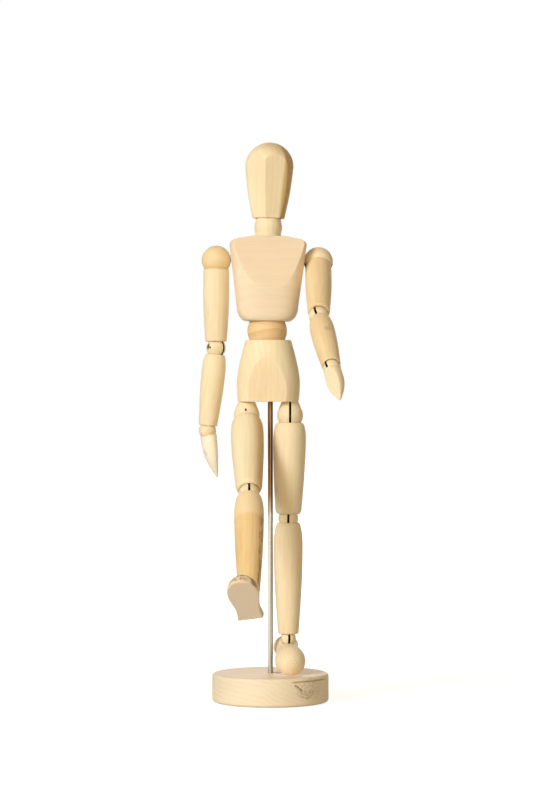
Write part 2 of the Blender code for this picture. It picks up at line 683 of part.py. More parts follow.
def make_spine_spring(finish, chest):
    """From the pelvis pin up through waist, chest and neck, screwed into the head."""
    pin_drop = PELVIS_HEIGHT + WAIST_REVEAL - PELVIS_PIN_HEIGHT
    lower = eye((0.0, 0.0, -pin_drop), 1.0, 0.0, -CHEST_TURN)
    coil_low = WAIST_REVEAL + SPINE_COIL_FROM * CHEST_HEIGHT
    coil_high = WAIST_REVEAL + SPINE_COIL_TO * CHEST_HEIGHT
    winding = coil(0.0, 0.0, coil_high, coil_low)
    head_bottom = WAIST_REVEAL + CHEST_HEIGHT + NECK_LENGTH
    top_low = head_bottom + SPINE_THREAD_FROM * SPINE_DEPTH_IN_HEAD
    top_high = head_bottom + SPINE_THREAD_TO * SPINE_DEPTH_IN_HEAD
    thread = coil(0.0, 0.0, top_high, top_low)
    shank = [Vector((0.0, 0.0, coil_low - COIL_LEAD))]
    rise = [Vector((0.0, 0.0, coil_high + COIL_LEAD)), Vector((0.0, 0.0, top_low - COIL_LEAD))]
    points = lower + shank + winding[::-1] + rise + thread[::-1]
    return wire("spine_spring", points, finish, chest)


def make_shoulder_spring(finish, chest):
    """Straight across the chest, with an eye on each shoulder pin."""
    ends = {}
    for name in SIDES:
        hook = eye((0.0, 0.0, 0.0), 1.0, -HOOK_OFFSET, 0.0)
        ends[name] = [shoulder_frame(name) @ point for point in hook]
    centre = shift(0.0, SHOULDER_SET_BACK, WAIST_REVEAL + SHOULDER_HEIGHT)
    half_coil = COIL_SHARE * shoulder_place(1.0).translation.x
    winding = [centre @ turn('Y', 90.0) @ point for point in coil(0.0, 0.0, -half_coil, half_coil)]
    lead = Vector((COIL_LEAD, 0.0, 0.0))
    right_end = ends["right"][-1]
    left_end = ends["left"][-1]
    right_shank = Vector((winding[0].x, right_end.y, right_end.z)) - lead
    left_shank = Vector((winding[-1].x, left_end.y, left_end.z)) + lead
    points = ends["right"] + [right_shank] + winding + [left_shank] + ends["left"][::-1]
    return wire("shoulder_spring", points, finish, chest)


# Limbs

def make_arm(name, chest, wood, pin_finish, spring_finish):
    side = SIDES[name]
    pose = ARM_POSE[name]
    frame = shoulder_frame(name)
    hanging = shoulder_place(side) @ turn('X', -pose["swing"])
    elbow_frame = shift(z=-UPPER_ARM_LENGTH) @ turn('Y', -pose["elbow_lean"]) @ turn('Z', pose["elbow_turn"])
    wrist_frame = shift(z=-FOREARM_LENGTH) @ turn('Z', pose["wrist_turn"])
    shoulder = joint_ball(name + "_shoulder_ball", SHOULDER_BALL_RADIUS, wood, pin_finish, chest, frame,
                          pin_from=-side)
    upper = new_part(name + "_upper_arm",
                     limb(SHOULDER_BALL_RADIUS, SHOULDER_REVEAL, ELBOW_BALL_RADIUS, ELBOW_REVEAL,
                          UPPER_ARM_LENGTH, UPPER_ARM_BELLY_RADIUS, UPPER_ARM_BELLY_AT,
                          UPPER_ARM_TAIL_RADIUS, UPPER_ARM_ROUNDING),
                     wood, shoulder, frame.inverted() @ hanging @ turn('Y', -side * pose["raise"]))
    wire(name + "_upper_arm_spring",
         tension_spring((0.0, 0.0, 0.0), -90.0 * side, elbow_frame, ELBOW_BALL_RADIUS), spring_finish, upper)
    elbow = joint_ball(name + "_elbow_ball", ELBOW_BALL_RADIUS, wood, pin_finish, upper, elbow_frame)
    fore = new_part(name + "_forearm",
                    limb(ELBOW_BALL_RADIUS, ELBOW_REVEAL, WRIST_BALL_RADIUS, WRIST_REVEAL,
                         FOREARM_LENGTH, FOREARM_BELLY_RADIUS, FOREARM_BELLY_AT,
                         FOREARM_TAIL_RADIUS, FOREARM_ROUNDING),
                    wood, elbow, turn('X', -pose["elbow_bend"]))
    wire(name + "_forearm_spring",
         tension_spring((0.0, 0.0, 0.0), 0.0, wrist_frame, WRIST_BALL_RADIUS), spring_finish, fore)
    wrist = joint_ball(name + "_wrist_ball", WRIST_BALL_RADIUS, wood, pin_finish, fore, wrist_frame)
    make_hand(name, wood, spring_finish, wrist, turn('X', -pose["wrist_bend"]))


def make_hand(name, wood, hook_finish, wrist, matrix):
    """A turned bud with a flat palm, which faces the front of the wrist's slot."""
    rim = cup(WRIST_BALL_RADIUS, WRIST_REVEAL, 0.0, -1.0, HOOK_BORE_RADIUS)
    top = (rim[0][0] + RIM_LAND, -WRIST_REVEAL)
    tip = -HAND_LENGTH
    outline = swell(top, (HAND_BELLY_RADIUS, -HAND_BELLY_AT), 3, True)
    outline += taper((HAND_BELLY_RADIUS, -HAND_BELLY_AT), (HAND_TIP_RADIUS, tip + HAND_TIP_RADIUS), 5)[1:]
    outline += [(0.0, tip)]
    hole = -WRIST_BALL_RADIUS - HAND_HOOK_LENGTH
    mesh = turned([(0.0, hole), (HOOK_BORE_RADIUS, hole)] + rim[::-1] + outline, LIMB_SIDES)
    hand = new_part(name + "_hand", mesh, wood, wrist, matrix)
    lean = math.degrees(math.atan2(PALM_AT_BELLY - PALM_AT_TIP, HAND_LENGTH - HAND_BELLY_AT))
    reach = 2.0 * HAND_LENGTH
    cut(hand, box((-reach, -reach, -reach), (reach, 0.0, HAND_BELLY_AT - WRIST_REVEAL - RIM_LAND)),
        shift(0.0, -PALM_AT_BELLY, -HAND_BELLY_AT) @ turn('X', lean))
    points = eye((0.0, 0.0, 0.0), -1.0, HOOK_OFFSET, 0.0)
    points.append(Vector((HOOK_OFFSET, 0.0, hole + GAP)))
    wire(name + "_hand_hook", points, hook_finish, hand)


def make_leg(name, pelvis, wood, pin_finish, spring_finish):
    side = SIDES[name]
    pose = LEG_POSE[name]
    hip_x = side * HIP_SPACING / 2.0 - PELVIS_OFFSET
    hip_frame = shift(hip_x, 0.0, -HIP_DROP) @ turn('Z', pose["hip_turn"])
    knee_frame = shift(z=-THIGH_LENGTH) @ turn('Y', -pose["knee_lean"]) @ turn('Z', pose["knee_turn"])
    ankle_frame = shift(z=-SHIN_LENGTH) @ turn('Z', pose["ankle_turn"])
    wire(name + "_hip_spring",
         tension_spring((hip_x, 0.0, PELVIS_PIN_HEIGHT), 0.0, hip_frame, HIP_DROP), spring_finish, pelvis)
    # The right hip ball is fitted the other way round, so its slot opens to the back.
    hip = joint_ball(name + "_hip_ball", HIP_BALL_RADIUS, wood, pin_finish, pelvis, hip_frame,
                     neck=(HIP_NECK_RADIUS, HIP_DROP - GAP), slot_to=-side)
    thigh = new_part(name + "_thigh",
                     limb(HIP_BALL_RADIUS, HIP_REVEAL, KNEE_BALL_RADIUS, KNEE_REVEAL, THIGH_LENGTH,
                          THIGH_BELLY_RADIUS, THIGH_BELLY_AT, THIGH_TAIL_RADIUS, THIGH_ROUNDING),
                     wood, hip, turn('X', -pose["hip_swing"]) @ turn('Y', -pose["hip_lean"]))
    wire(name + "_thigh_spring",
         tension_spring((0.0, 0.0, 0.0), 0.0, knee_frame, KNEE_BALL_RADIUS), spring_finish, thigh)
    knee = joint_ball(name + "_knee_ball", KNEE_BALL_RADIUS, wood, pin_finish, thigh, knee_frame)
    shin = new_part(name + "_shin",
                    limb(KNEE_BALL_RADIUS, KNEE_REVEAL, ANKLE_BALL_RADIUS, ANKLE_REVEAL, SHIN_LENGTH,
                         SHIN_BELLY_RADIUS, SHIN_BELLY_AT, SHIN_TAIL_RADIUS, SHIN_ROUNDING),
                    wood, knee, turn('X', -pose["knee_bend"]))
    wire(name + "_shin_spring",
         tension_spring((0.0, 0.0, 0.0), 0.0, ankle_frame, ANKLE_BALL_RADIUS), spring_finish, shin)
    ankle = joint_ball(name + "_ankle_ball", ANKLE_BALL_RADIUS, wood, pin_finish, shin, ankle_frame)
    return make_foot(name, wood, spring_finish, ankle, turn('X', -pose["ankle_bend"]))


def make_foot(name, wood, hook_finish, ankle, matrix):
    """A turned bulb, waist and flare, cut flat for the sole, which comes near the axis at the heel."""
    nose = 5
    bulb_at = FOOT_LENGTH - FOOT_BULB_SETBACK
    waist_at = FOOT_ANKLE_TO_HEEL
    outline = [(0.0, FOOT_LENGTH)]
    for i in range(1, nose + 1):
        angle = math.pi / 2.0 * i / nose
        outline.append((FOOT_BULB_RADIUS * math.sin(angle),
                        bulb_at + (FOOT_LENGTH - bulb_at) * math.cos(angle)))
    for i in range(1, 5):
        share = i / 4.0
        ease = (1.0 - math.cos(math.pi * share)) / 2.0
        outline.append((between(FOOT_BULB_RADIUS, FOOT_WAIST_RADIUS, ease),
                        between(bulb_at, waist_at, share)))
    outline += [(between(FOOT_WAIST_RADIUS, FOOT_HEEL_RADIUS, 0.25), waist_at / 2.0),
                (FOOT_HEEL_RADIUS, 0.0), (0.0, 0.0)]
    mesh = turned(outline, BALL_SIDES)
    tilt = math.degrees(math.asin((FOOT_TOE_AXIS_HEIGHT[name] - FOOT_HEEL_AXIS_HEIGHT) / FOOT_LENGTH))
    sole = -FOOT_ANKLE_HEIGHT
    mesh.transform(shift(0.0, FOOT_ANKLE_TO_HEEL, sole + FOOT_HEEL_AXIS_HEIGHT) @ turn('X', 90.0 - tilt))
    foot = new_part(name + "_foot", mesh, wood, ankle, matrix)
    reach = 2.0 * FOOT_LENGTH
    cut(foot, box((-reach, -reach, -reach), (reach, reach, sole)))
    cut(foot, ball(ANKLE_BALL_RADIUS + CUP_GAP, BALL_SIDES))
    hole = -ANKLE_BALL_RADIUS - FOOT_HOOK_LENGTH
    cut(foot, cylinder(HOOK_BORE_RADIUS, hole, 0.0, 'Z', 8))
    points = eye((0.0, 0.0, 0.0), -1.0, HOOK_OFFSET, 0.0)
    points.append(Vector((HOOK_OFFSET, 0.0, hole + GAP)))
    wire(name + "_foot_hook", points, hook_finish, foot)
    return foot


def lowest_point(item):
    depsgraph = bpy.context.evaluated_depsgraph_get()
    shaped = item.evaluated_get(depsgraph)
    return min((shaped.matrix_world @ vertex.co).z for vertex in shaped.data.vertices)


def main():
    global PARTS, CUTTERS
    clear_scene()
    PARTS = new_collection("wooden_figure")
    CUTTERS = new_collection("wooden_figure_cutters")
    wood = material("pale_beech", (0.72, 0.50, 0.27), 0.5)
    base_wood = material("base_beech", (0.66, 0.45, 0.24), 0.5)
    rod_steel = material("bright_steel", (0.62, 0.61, 0.58), 0.2, 1.0)
    pin_steel = material("pin_steel", (0.36, 0.33, 0.27), 0.4, 1.0)
    spring_steel = material("spring_steel", (0.5, 0.5, 0.5), 0.35, 1.0)

    make_base(base_wood)
    pelvis = make_pelvis(wood, pin_steel)
    waist = make_waist(wood, pelvis)
    chest = make_chest(wood, waist)
    neck = make_neck(wood, chest)
    make_head(wood, neck)
    make_spine_spring(spring_steel, chest)
    make_shoulder_spring(spring_steel, chest)
    feet = {}
    for name in SIDES:
        make_arm(name, chest, wood, pin_steel, spring_steel)
        feet[name] = make_leg(name, pelvis, wood, pin_steel, spring_steel)

    # The figure's height on the rod sets the standing toe just clear of the base.
    pelvis.matrix_basis = turn('Z', PELVIS_TURN)
    bpy.context.view_layer.update()
    pelvis_bottom = BASE_THICKNESS + GAP - lowest_point(feet["left"])
    pelvis.matrix_basis = shift(z=pelvis_bottom) @ turn('Z', PELVIS_TURN)
    make_rod(rod_steel, pelvis_bottom)
    bpy.context.view_layer.update()


main()
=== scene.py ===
"""Looks of the wooden lay figure: finely turned limbs, planed facets, satin wood and bright steel.

Metres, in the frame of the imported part. Each wooden piece is made again at its node's place, with the
grain running along its own blank, and rides on the node's body.
"""
import json
import math

import bmesh
import bpy
import numpy as np
from mathutils import Matrix, Vector

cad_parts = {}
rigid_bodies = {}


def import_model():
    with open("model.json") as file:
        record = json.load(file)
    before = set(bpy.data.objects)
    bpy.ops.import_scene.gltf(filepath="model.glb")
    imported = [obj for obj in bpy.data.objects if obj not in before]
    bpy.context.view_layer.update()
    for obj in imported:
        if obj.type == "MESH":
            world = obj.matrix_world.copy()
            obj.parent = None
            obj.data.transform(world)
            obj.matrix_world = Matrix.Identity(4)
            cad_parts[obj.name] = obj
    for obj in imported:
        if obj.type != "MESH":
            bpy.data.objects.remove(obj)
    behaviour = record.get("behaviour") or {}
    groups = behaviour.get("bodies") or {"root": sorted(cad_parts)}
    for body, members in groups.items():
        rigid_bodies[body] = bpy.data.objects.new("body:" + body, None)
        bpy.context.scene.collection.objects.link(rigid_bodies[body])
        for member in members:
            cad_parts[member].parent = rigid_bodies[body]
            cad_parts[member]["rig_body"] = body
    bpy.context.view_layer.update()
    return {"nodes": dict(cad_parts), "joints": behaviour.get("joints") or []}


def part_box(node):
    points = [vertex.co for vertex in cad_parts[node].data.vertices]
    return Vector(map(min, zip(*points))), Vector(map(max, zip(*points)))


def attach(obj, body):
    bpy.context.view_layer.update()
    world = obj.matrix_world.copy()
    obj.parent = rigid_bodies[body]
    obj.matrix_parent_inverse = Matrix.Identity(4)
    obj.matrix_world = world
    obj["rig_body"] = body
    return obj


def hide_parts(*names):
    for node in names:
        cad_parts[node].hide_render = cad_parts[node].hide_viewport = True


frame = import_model()
NODES = frame["nodes"]
JOINTS = {joint["name"]: joint for joint in frame["joints"]}
SIDES = {"left": 1.0, "right": -1.0}
MM = 0.001

# Clearances and hardware, in millimetres; a share is of the ball's radius
CUP_GAP = 0.35
RIM_LAND = 0.35
NECK_GAP = 0.03
PIN_HOLE = 0.62
SLOT_WIDTH = 1.3
# How far below a ball's skin a face counts as inside the cut and takes its near-black painted shade
PAINTED_SHADE_BELOW = 0.06
SLOT_REACH = 1.35
SPRING_BORE = 2.2
SPINE_BORE = 2.4
HOOK_BORE = 0.7
ROD_HOLE = 1.7
PIN_BLIND_SHARE = 0.75
PIN_CAPPED_SHARE = 0.95
SANDED_EDGE = 0.12
ON_FLAT = 0.04
WELD = 0.002

# The edge between two faces stays sharp above these angles, in degrees
TURNED_SHARP = 38.0
PLANED_SHARP = 30.0

# The neck's rounded ends: radius, and how far each centre stays outside the rim of its seat
NECK_END = 7.7
NECK_SEAT = 2.15

# Ball radius, and how far the rims of the two limbs stay from the ball's centre
BALLS = {
    "shoulder": (8.7, 5.4),
    "elbow": (5.8, 3.8),
    "wrist": (5.1, 3.0),
    "hip": (7.7, 4.3),
    "knee": (5.9, 2.55),
    "ankle": (4.5, 2.3),
}

# Limbs: ball above, ball below, belly radius, how far the belly is below the upper pin, radius and
# rounding at the lower end
LIMBS = {
    "upper_arm": ("shoulder", "elbow", 7.8, 18.1, 6.45, 0.8),
    "forearm": ("elbow", "wrist", 7.1, 15.2, 5.5, 0.8),
    "thigh": ("hip", "knee", 9.7, 14.0, 7.9, 4.0),
    "shin": ("knee", "ankle", 8.6, 15.5, 6.15, 0.9),
}

# How far a slot opens for a limb that swings freely, and for one that hardly swings back, in degrees
FREE_SWING = 90.0
LEAST_SWING = 2.0

# Rest bends that no joint names, in degrees
HEAD_TURN = -15.0
HEAD_LEAN = 0.6
WRIST_BEND = {"left": 0.0, "right": 18.5}
ANKLE_BEND = {"left": -25.4, "right": 11.0}

# The base in millimetres, and the slant of the dark lines beside its knot in degrees
BASE_RADIUS = 34.6
BASE_THICKNESS = 16.8
DASH_SLANT = -40.0

# Feet: length, and the height of the lathe's axis above the sole at each end
FOOT_LENGTH = 29.7
FOOT_HEEL_AXIS_HEIGHT = 2.6
FOOT_TOE_AXIS_HEIGHT = {"left": 5.2, "right": 2.0}


# Places from the joints

def spot(name):
    return Vector(JOINTS[name]["pos_m"])


def axis(name):
    return Vector(JOINTS[name]["axis"])


def framed(origin, up, across):
    """A piece's own frame: Z is up, and X is the part of across that is square to it."""
    up = up.normalized()
    across = (across - across.dot(up) * up).normalized()
    matrix = Matrix((across, up.cross(across), up)).transposed().to_4x4()
    matrix.translation = origin
    return matrix


def turn(about, degrees):
    return Matrix.Rotation(math.radians(degrees), 4, about)


def shift(x=0.0, y=0.0, z=0.0):
    return Matrix.Translation((x * MM, y * MM, z * MM))


# Arithmetic in node trees

def plug(tree, item, socket):
    """Link a value to a socket, or write a plain number into it."""
    if isinstance(item, Value):
        tree.links.new(item.socket, socket)
    else:
        socket.default_value = item


def maths(operation, flipped=False):
    """A method of a value that adds one maths node."""
    def method(self, *others):
        return self.work(operation, *others, self) if flipped else self.work(operation, self, *others)
    return method


class Value:
    """A number in a node tree, so that a rule for a shape or a grain reads as arithmetic."""

    def __init__(self, tree, socket):
        self.tree = tree
        self.socket = socket

    def work(self, operation, *items):
        node = self.tree.nodes.new('ShaderNodeMath')
        node.operation = operation
        for socket, item in zip(node.inputs, items):
            plug(self.tree, item, socket)
        return Value(self.tree, node.outputs[0])

    __add__ = maths('ADD')
    __radd__ = maths('ADD', flipped=True)
    __sub__ = maths('SUBTRACT')
    __rsub__ = maths('SUBTRACT', flipped=True)
    __mul__ = maths('MULTIPLY')
    __rmul__ = maths('MULTIPLY', flipped=True)
    __truediv__ = maths('DIVIDE')
    root = maths('SQRT')
    sin = maths('SINE')
    cos = maths('COSINE')
    asin = maths('ARCSINE')
    bearing = maths('ARCTAN2')
    low = maths('MINIMUM')
    high = maths('MAXIMUM')
    fraction = maths('FRACT')
    nearest = maths('ROUND')
    size = maths('ABSOLUTE')

    def within(self):
        return self.high(0.0).low(1.0)

    def rise(self, start, end):
        """0 below start, 1 above end, and an even slope with soft ends between."""
        node = self.tree.nodes.new('ShaderNodeMapRange')
        node.interpolation_type = 'SMOOTHSTEP'
        self.tree.links.new(self.socket, node.inputs["Value"])
        node.inputs["From Min"].default_value = start
        node.inputs["From Max"].default_value = end
        return Value(self.tree, node.outputs["Result"])


def combined(tree, x, y, z):
    node = tree.nodes.new('ShaderNodeCombineXYZ')
    for socket, item in zip(node.inputs, (x, y, z)):
        plug(tree, item, socket)
    return node.outputs[0]


def separated(tree, socket):
    node = tree.nodes.new('ShaderNodeSeparateXYZ')
    tree.links.new(socket, node.inputs[0])
    return [Value(tree, output) for output in node.outputs]


# Turning on the lathe, as node trees

def new_tree(name, inputs):
    """A geometry tree with its named inputs, and a reader for them."""
    tree = bpy.data.node_groups.new(name, 'GeometryNodeTree')
    tree.interface.new_socket("Geometry", in_out='INPUT', socket_type='NodeSocketGeometry')
    for label, kind in inputs:
        tree.interface.new_socket(label, in_out='INPUT', socket_type=kind)
    tree.interface.new_socket("Geometry", in_out='OUTPUT', socket_type='NodeSocketGeometry')
    start = tree.nodes.new('NodeGroupInput')
    return tree, lambda label: Value(tree, start.outputs[label])


def spun(tree, grid, radius, height, angle, material):
    """Wrap a grid round Z, weld its seams and end with the finish."""
    moved = tree.nodes.new('GeometryNodeSetPosition')
    tree.links.new(grid, moved.inputs["Geometry"])
    tree.links.new(combined(tree, radius * angle.cos(), radius * angle.sin(), height),
                   moved.inputs["Position"])
    weld = tree.nodes.new('GeometryNodeMergeByDistance')
    weld.inputs["Distance"].default_value = WELD * MM
    real = tree.nodes.new('GeometryNodeRealizeInstances')
    finish = tree.nodes.new('GeometryNodeSetMaterial')
    end = tree.nodes.new('NodeGroupOutput')
    tree.links.new(moved.outputs["Geometry"], weld.inputs["Geometry"])
    tree.links.new(weld.outputs["Geometry"], real.inputs["Geometry"])
    tree.links.new(real.outputs["Geometry"], finish.inputs["Geometry"])
    tree.links.new(material.socket, finish.inputs["Material"])
    tree.links.new(finish.outputs["Geometry"], end.inputs[0])


def unit_grid(tree, rows, columns):
    """A grid, with the share of the way along its rows and round its columns."""
    grid = tree.nodes.new('GeometryNodeMeshGrid')
    plug(tree, rows, grid.inputs["Vertices X"])
    plug(tree, columns, grid.inputs["Vertices Y"])
    place = tree.nodes.new('GeometryNodeInputPosition')
    along, around, _ = separated(tree, place.outputs[0])
    return grid.outputs["Mesh"], along + 0.5, around + 0.5


LIMB_INPUTS = ("Length", "Upper cup", "Upper reveal", "Lower cup", "Lower reveal", "Belly radius",
               "Belly at", "Tail radius", "Rounding", "Land", "Bore")


def limb_tree():
    """A limb from pin to pin: a swell to the belly, a taper, a rounded end, two cups and a bore."""
    inputs = [(label, 'NodeSocketFloat') for label in LIMB_INPUTS]
    tree, given = new_tree("turned_limb", inputs + [("Sides", 'NodeSocketInt'),
                                                    ("Wood", 'NodeSocketMaterial')])
    parts = {"swell": 16, "taper": 18, "round": 8, "lower_land": 1, "lower_cup": 8, "bore": 2,
             "upper_cup": 8, "upper_land": 1}
    rows = sum(parts.values())
    grid, along, around = unit_grid(tree, rows + 1, given("Sides") + 1.0)
    share = {}
    begun = 0
    for part, count in parts.items():
        share[part] = ((along * float(rows) - float(begun)) / float(count)).within()
        begun += count
    quarter = math.pi / 2.0
    upper, lower = given("Upper cup"), given("Lower cup")
    upper_rim = (upper * upper - given("Upper reveal") * given("Upper reveal")).root()
    lower_rim = (lower * lower - given("Lower reveal") * given("Lower reveal")).root()
    belly, tail, land, bore = given("Belly radius"), given("Tail radius"), given("Land"), given("Bore")
    lower_end = given("Lower reveal") - given("Length")

    lower_rim_turn = (lower_rim / lower).asin()
    lower_bore_turn = (bore / lower).asin()
    lower_turn = lower_rim_turn + (lower_bore_turn - lower_rim_turn) * share["lower_cup"]
    upper_rim_turn = (upper_rim / upper).asin()
    upper_bore_turn = (bore / upper).asin()
    upper_turn = upper_bore_turn + (upper_rim_turn - upper_bore_turn) * share["upper_cup"]

    radius = upper_rim + land + (belly - upper_rim - land) * (share["swell"] * quarter).sin()
    radius = radius + (tail - belly) * (1.0 - (share["taper"] * quarter).cos())
    radius = radius + (lower_rim + land - tail) * (1.0 - (share["round"] * quarter).cos())
    radius = radius - land * share["lower_land"]
    radius = radius + lower * (lower_turn.sin() - lower_rim_turn.sin())
    radius = radius + upper * (upper_turn.sin() - upper_bore_turn.sin())
    radius = radius + land * share["upper_land"]

    height = 0.0 - given("Upper reveal")
    height = height - (given("Belly at") - given("Upper reveal")) * (1.0 - (share["swell"] * quarter).cos())
    height = height + (lower_end + given("Rounding") + given("Belly at")) * share["taper"]
    height = height - given("Rounding") * (share["round"] * quarter).sin()
    height = height + lower * (lower_turn.cos() - lower_rim_turn.cos())
    lower_bore_end = lower * lower_bore_turn.cos() - given("Length")
    upper_bore_end = 0.0 - upper * upper_bore_turn.cos()
    height = height + (upper_bore_end - lower_bore_end) * share["bore"]
    height = height - upper * (upper_turn.cos() - upper_bore_turn.cos())
    spun(tree, grid, radius, height, around * (2.0 * math.pi), given("Wood"))
    return tree


def blank_tree():
    """Any other turned blank: a drawn half outline, taken round the lathe's axis."""
    tree, given = new_tree("turned_blank", [("Sides", 'NodeSocketInt'), ("Wood", 'NodeSocketMaterial')])
    counted = tree.nodes.new('GeometryNodeAttributeDomainSize')
    tree.links.new(given("Geometry").socket, counted.inputs[0])
    count = Value(tree, counted.outputs["Point Count"])
    grid, along, around = unit_grid(tree, count, given("Sides") + 1.0)
    sampled = tree.nodes.new('GeometryNodeSampleIndex')
    sampled.data_type = 'FLOAT_VECTOR'
    place = tree.nodes.new('GeometryNodeInputPosition')
    tree.links.new(given("Geometry").socket, sampled.inputs["Geometry"])
    tree.links.new(place.outputs[0], sampled.inputs["Value"])
    row = (along * (count - 1.0)).nearest()
    tree.links.new(row.socket, sampled.inputs["Index"])
    radius, _, height = separated(tree, sampled.outputs[0])
    spun(tree, grid, radius, height, around * (2.0 * math.pi), given("Wood"))
    return tree


def run_tree(tree, start, settings):
    """Set a tree's inputs on an object, and give back what it makes as a plain mesh."""
    item = bpy.data.objects.new("blank", start)
    modifier = item.modifiers.new("lathe", 'NODES')
    modifier.node_group = tree
    for socket in tree.interface.items_tree:
        if socket.in_out == 'INPUT' and socket.name in settings:
            modifier[socket.identifier] = settings[socket.name]
    bpy.context.scene.collection.objects.link(item)
    mesh = bpy.data.meshes.new_from_object(item.evaluated_get(bpy.context.evaluated_depsgraph_get()))
    bpy.data.objects.remove(item)
    return outward(mesh)


def outward(mesh):
    work = bmesh.new()
    work.from_mesh(mesh)
    bmesh.ops.recalc_face_normals(work, faces=work.faces)
    work.to_mesh(mesh)
    work.free()
    return mesh


LIMB_TREE = limb_tree()
BLANK_TREE = blank_tree()


def turned(outline, sides, finish):
    """Turn an outline of (radius, height) points in millimetres."""
    drawn = bpy.data.meshes.new("outline")
    drawn.from_pydata([(radius * MM, 0.0, height * MM) for radius, height in outline], [], [])
    return run_tree(BLANK_TREE, drawn, {"Sides": sides, "Wood": finish})


def arc(centre, radius, start, end, steps):
    """Points of a circle in the outline's plane; angles in degrees up from the horizontal."""
    points = []
    for i in range(steps + 1):
        angle = math.radians(start + (end - start) * i / steps)
        points.append((max(0.0, centre[0] + radius * math.cos(angle)), centre[1] + radius * math.sin(angle)))
    return points


def between(low, high, share):
    return low + (high - low) * min(1.0, max(0.0, share))


def line(start, end, steps):
    """Points of a straight stretch of an outline, without its first and last."""
    return [(between(start[0], end[0], i / steps), between(start[1], end[1], i / steps))
            for i in range(1, steps)]


def rim_angle(cup_radius, reveal):
    return math.degrees(math.asin(reveal / cup_radius))


# Shaping a blank

def points_of(mesh):
    flat = np.empty(len(mesh.vertices) * 3)
    mesh.vertices.foreach_get("co", flat)
    return flat.reshape(-1, 3)


def put_points(mesh, points):
    mesh.vertices.foreach_set("co", points.ravel())
    mesh.update()


def planed(mesh, normal, level, edge):
    """Plane a flat: what stands beyond the plane comes down to it, with a sanded edge. Millimetres."""
    normal = np.array(normal) / np.linalg.norm(normal)
    points = points_of(mesh)
    over = points @ normal / MM - level
    soft = np.where(over > edge, over, np.where(over < -edge, 0.0, (over + edge) ** 2 / (4.0 * edge)))
    put_points(mesh, points - np.outer(soft * MM, normal))


def dished(mesh, centre, radius, away):
    """Press a ball's cup into a side: points inside the ball move along away to its skin."""
    away = np.array(away, float)
    points = points_of(mesh)
    offset = points / MM - np.array(centre)
    deep = offset @ away
    beside = ((offset - np.outer(deep, away)) ** 2).sum(axis=1)
    floor = np.sqrt(np.maximum(radius ** 2 - beside, 0.0))
    moved = np.where((beside < radius ** 2) & (deep > 0.0), np.maximum(floor - deep, 0.0), 0.0)
    put_points(mesh, points + np.outer(moved * MM, away))


def cut(mesh, cutters):
    """Cut slots and holes, given as meshes in the blank's own frame."""
    item = bpy.data.objects.new("blank", mesh)
    bpy.context.scene.collection.objects.link(item)
    tools = []
    for cutter in cutters:
        tool = bpy.data.objects.new("tool", cutter)
        bpy.context.scene.collection.objects.link(tool)
        step = item.modifiers.new("cut", 'BOOLEAN')
        step.operation = 'DIFFERENCE'
        step.solver = 'EXACT'
        step.object = tool
        tools.append(tool)
    made = bpy.data.meshes.new_from_object(item.evaluated_get(bpy.context.evaluated_depsgraph_get()))
    for tool in tools + [item]:
        bpy.data.objects.remove(tool)
    return made


def bar(radius, start, end, matrix, sides=24):
    """A round cutter along Z, in millimetres."""
    mesh = bpy.data.meshes.new("bar")
    work = bmesh.new()
    bmesh.ops.create_cone(work, cap_ends=True, segments=sides, radius1=radius * MM, radius2=radius * MM,
                          depth=(end - start) * MM)
    bmesh.ops.transform(work, matrix=matrix @ shift(z=(start + end) / 2.0), verts=work.verts)
    work.to_mesh(mesh)
    work.free()
    return mesh


def slot_plate(reach, beyond, opens, back_swing):
    """The saw cut of a joint ball: open on one side in Y, and below as far as the limb swings back."""
    back = math.radians(max(back_swing, LEAST_SWING))
    corner = reach * math.tan(back / 2.0)
    far = 2.0 * beyond
    side = reach + far * math.sin(back)
    outline = [(-beyond, -far), (side, -far), (side, corner - far * math.cos(back)),
               (reach, corner), (reach, beyond), (-beyond, beyond)]
    mesh = bpy.data.meshes.new("slot")
    work = bmesh.new()
    half = SLOT_WIDTH / 2.0 * MM
    face = work.faces.new([work.verts.new((-half, -opens * y * MM, z * MM)) for y, z in outline])
    grown = bmesh.ops.extrude_face_region(work, geom=[face])
    moved = [piece for piece in grown["geom"] if isinstance(piece, bmesh.types.BMVert)]
    bmesh.ops.translate(work, vec=(2.0 * half, 0.0, 0.0), verts=moved)
    bmesh.ops.recalc_face_normals(work, faces=work.faces)
    work.to_mesh(mesh)
    work.free()
    return mesh


# Each piece takes its grain from another place in the tree, in millimetres from the one before
GRAIN_STEP = (37.0, 53.0, 71.0)
SETTLED = []


def settle(node, mesh, matrix, sharp=TURNED_SHARP, grain=None, flats=()):
    """Put a finished piece at its node's place, with the grain of its own blank, on the node's body.

    flats are (normal, level) of the planes that the blank was planed to.
    """
    moved = Vector([step * len(SETTLED) for step in GRAIN_STEP]) * MM
    SETTLED.append(node)
    blank = grain if grain else Matrix.Identity(4)
    points = points_of(mesh)
    rotation = np.array(blank.to_3x3())
    lines = mesh.attributes.new("grain", 'FLOAT_VECTOR', 'POINT')
    lines.data.foreach_set("vector", (points @ rotation.T + np.array(moved)).ravel())
    local = mesh.attributes.new("blank", 'FLOAT_VECTOR', 'POINT')
    local.data.foreach_set("vector", points.ravel())
    on_flat = np.zeros(len(points))
    for normal, level in flats:
        off = np.abs(points @ (np.array(normal) / np.linalg.norm(normal)) / MM - level)
        on_flat = np.maximum(on_flat, np.where(off < ON_FLAT, 1.0, 0.0))
    planed_share = mesh.attributes.new("planed", 'FLOAT', 'POINT')
    planed_share.data.foreach_set("value", on_flat)
    mesh.transform(matrix)
    mesh.shade_smooth()
    mesh.set_sharp_from_angle(angle=math.radians(sharp))
    item = bpy.data.objects.new("turned_" + node, mesh)
    bpy.context.scene.collection.objects.link(item)
    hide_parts(node)
    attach(item, NODES[node]["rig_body"])
    return item


# Finishes

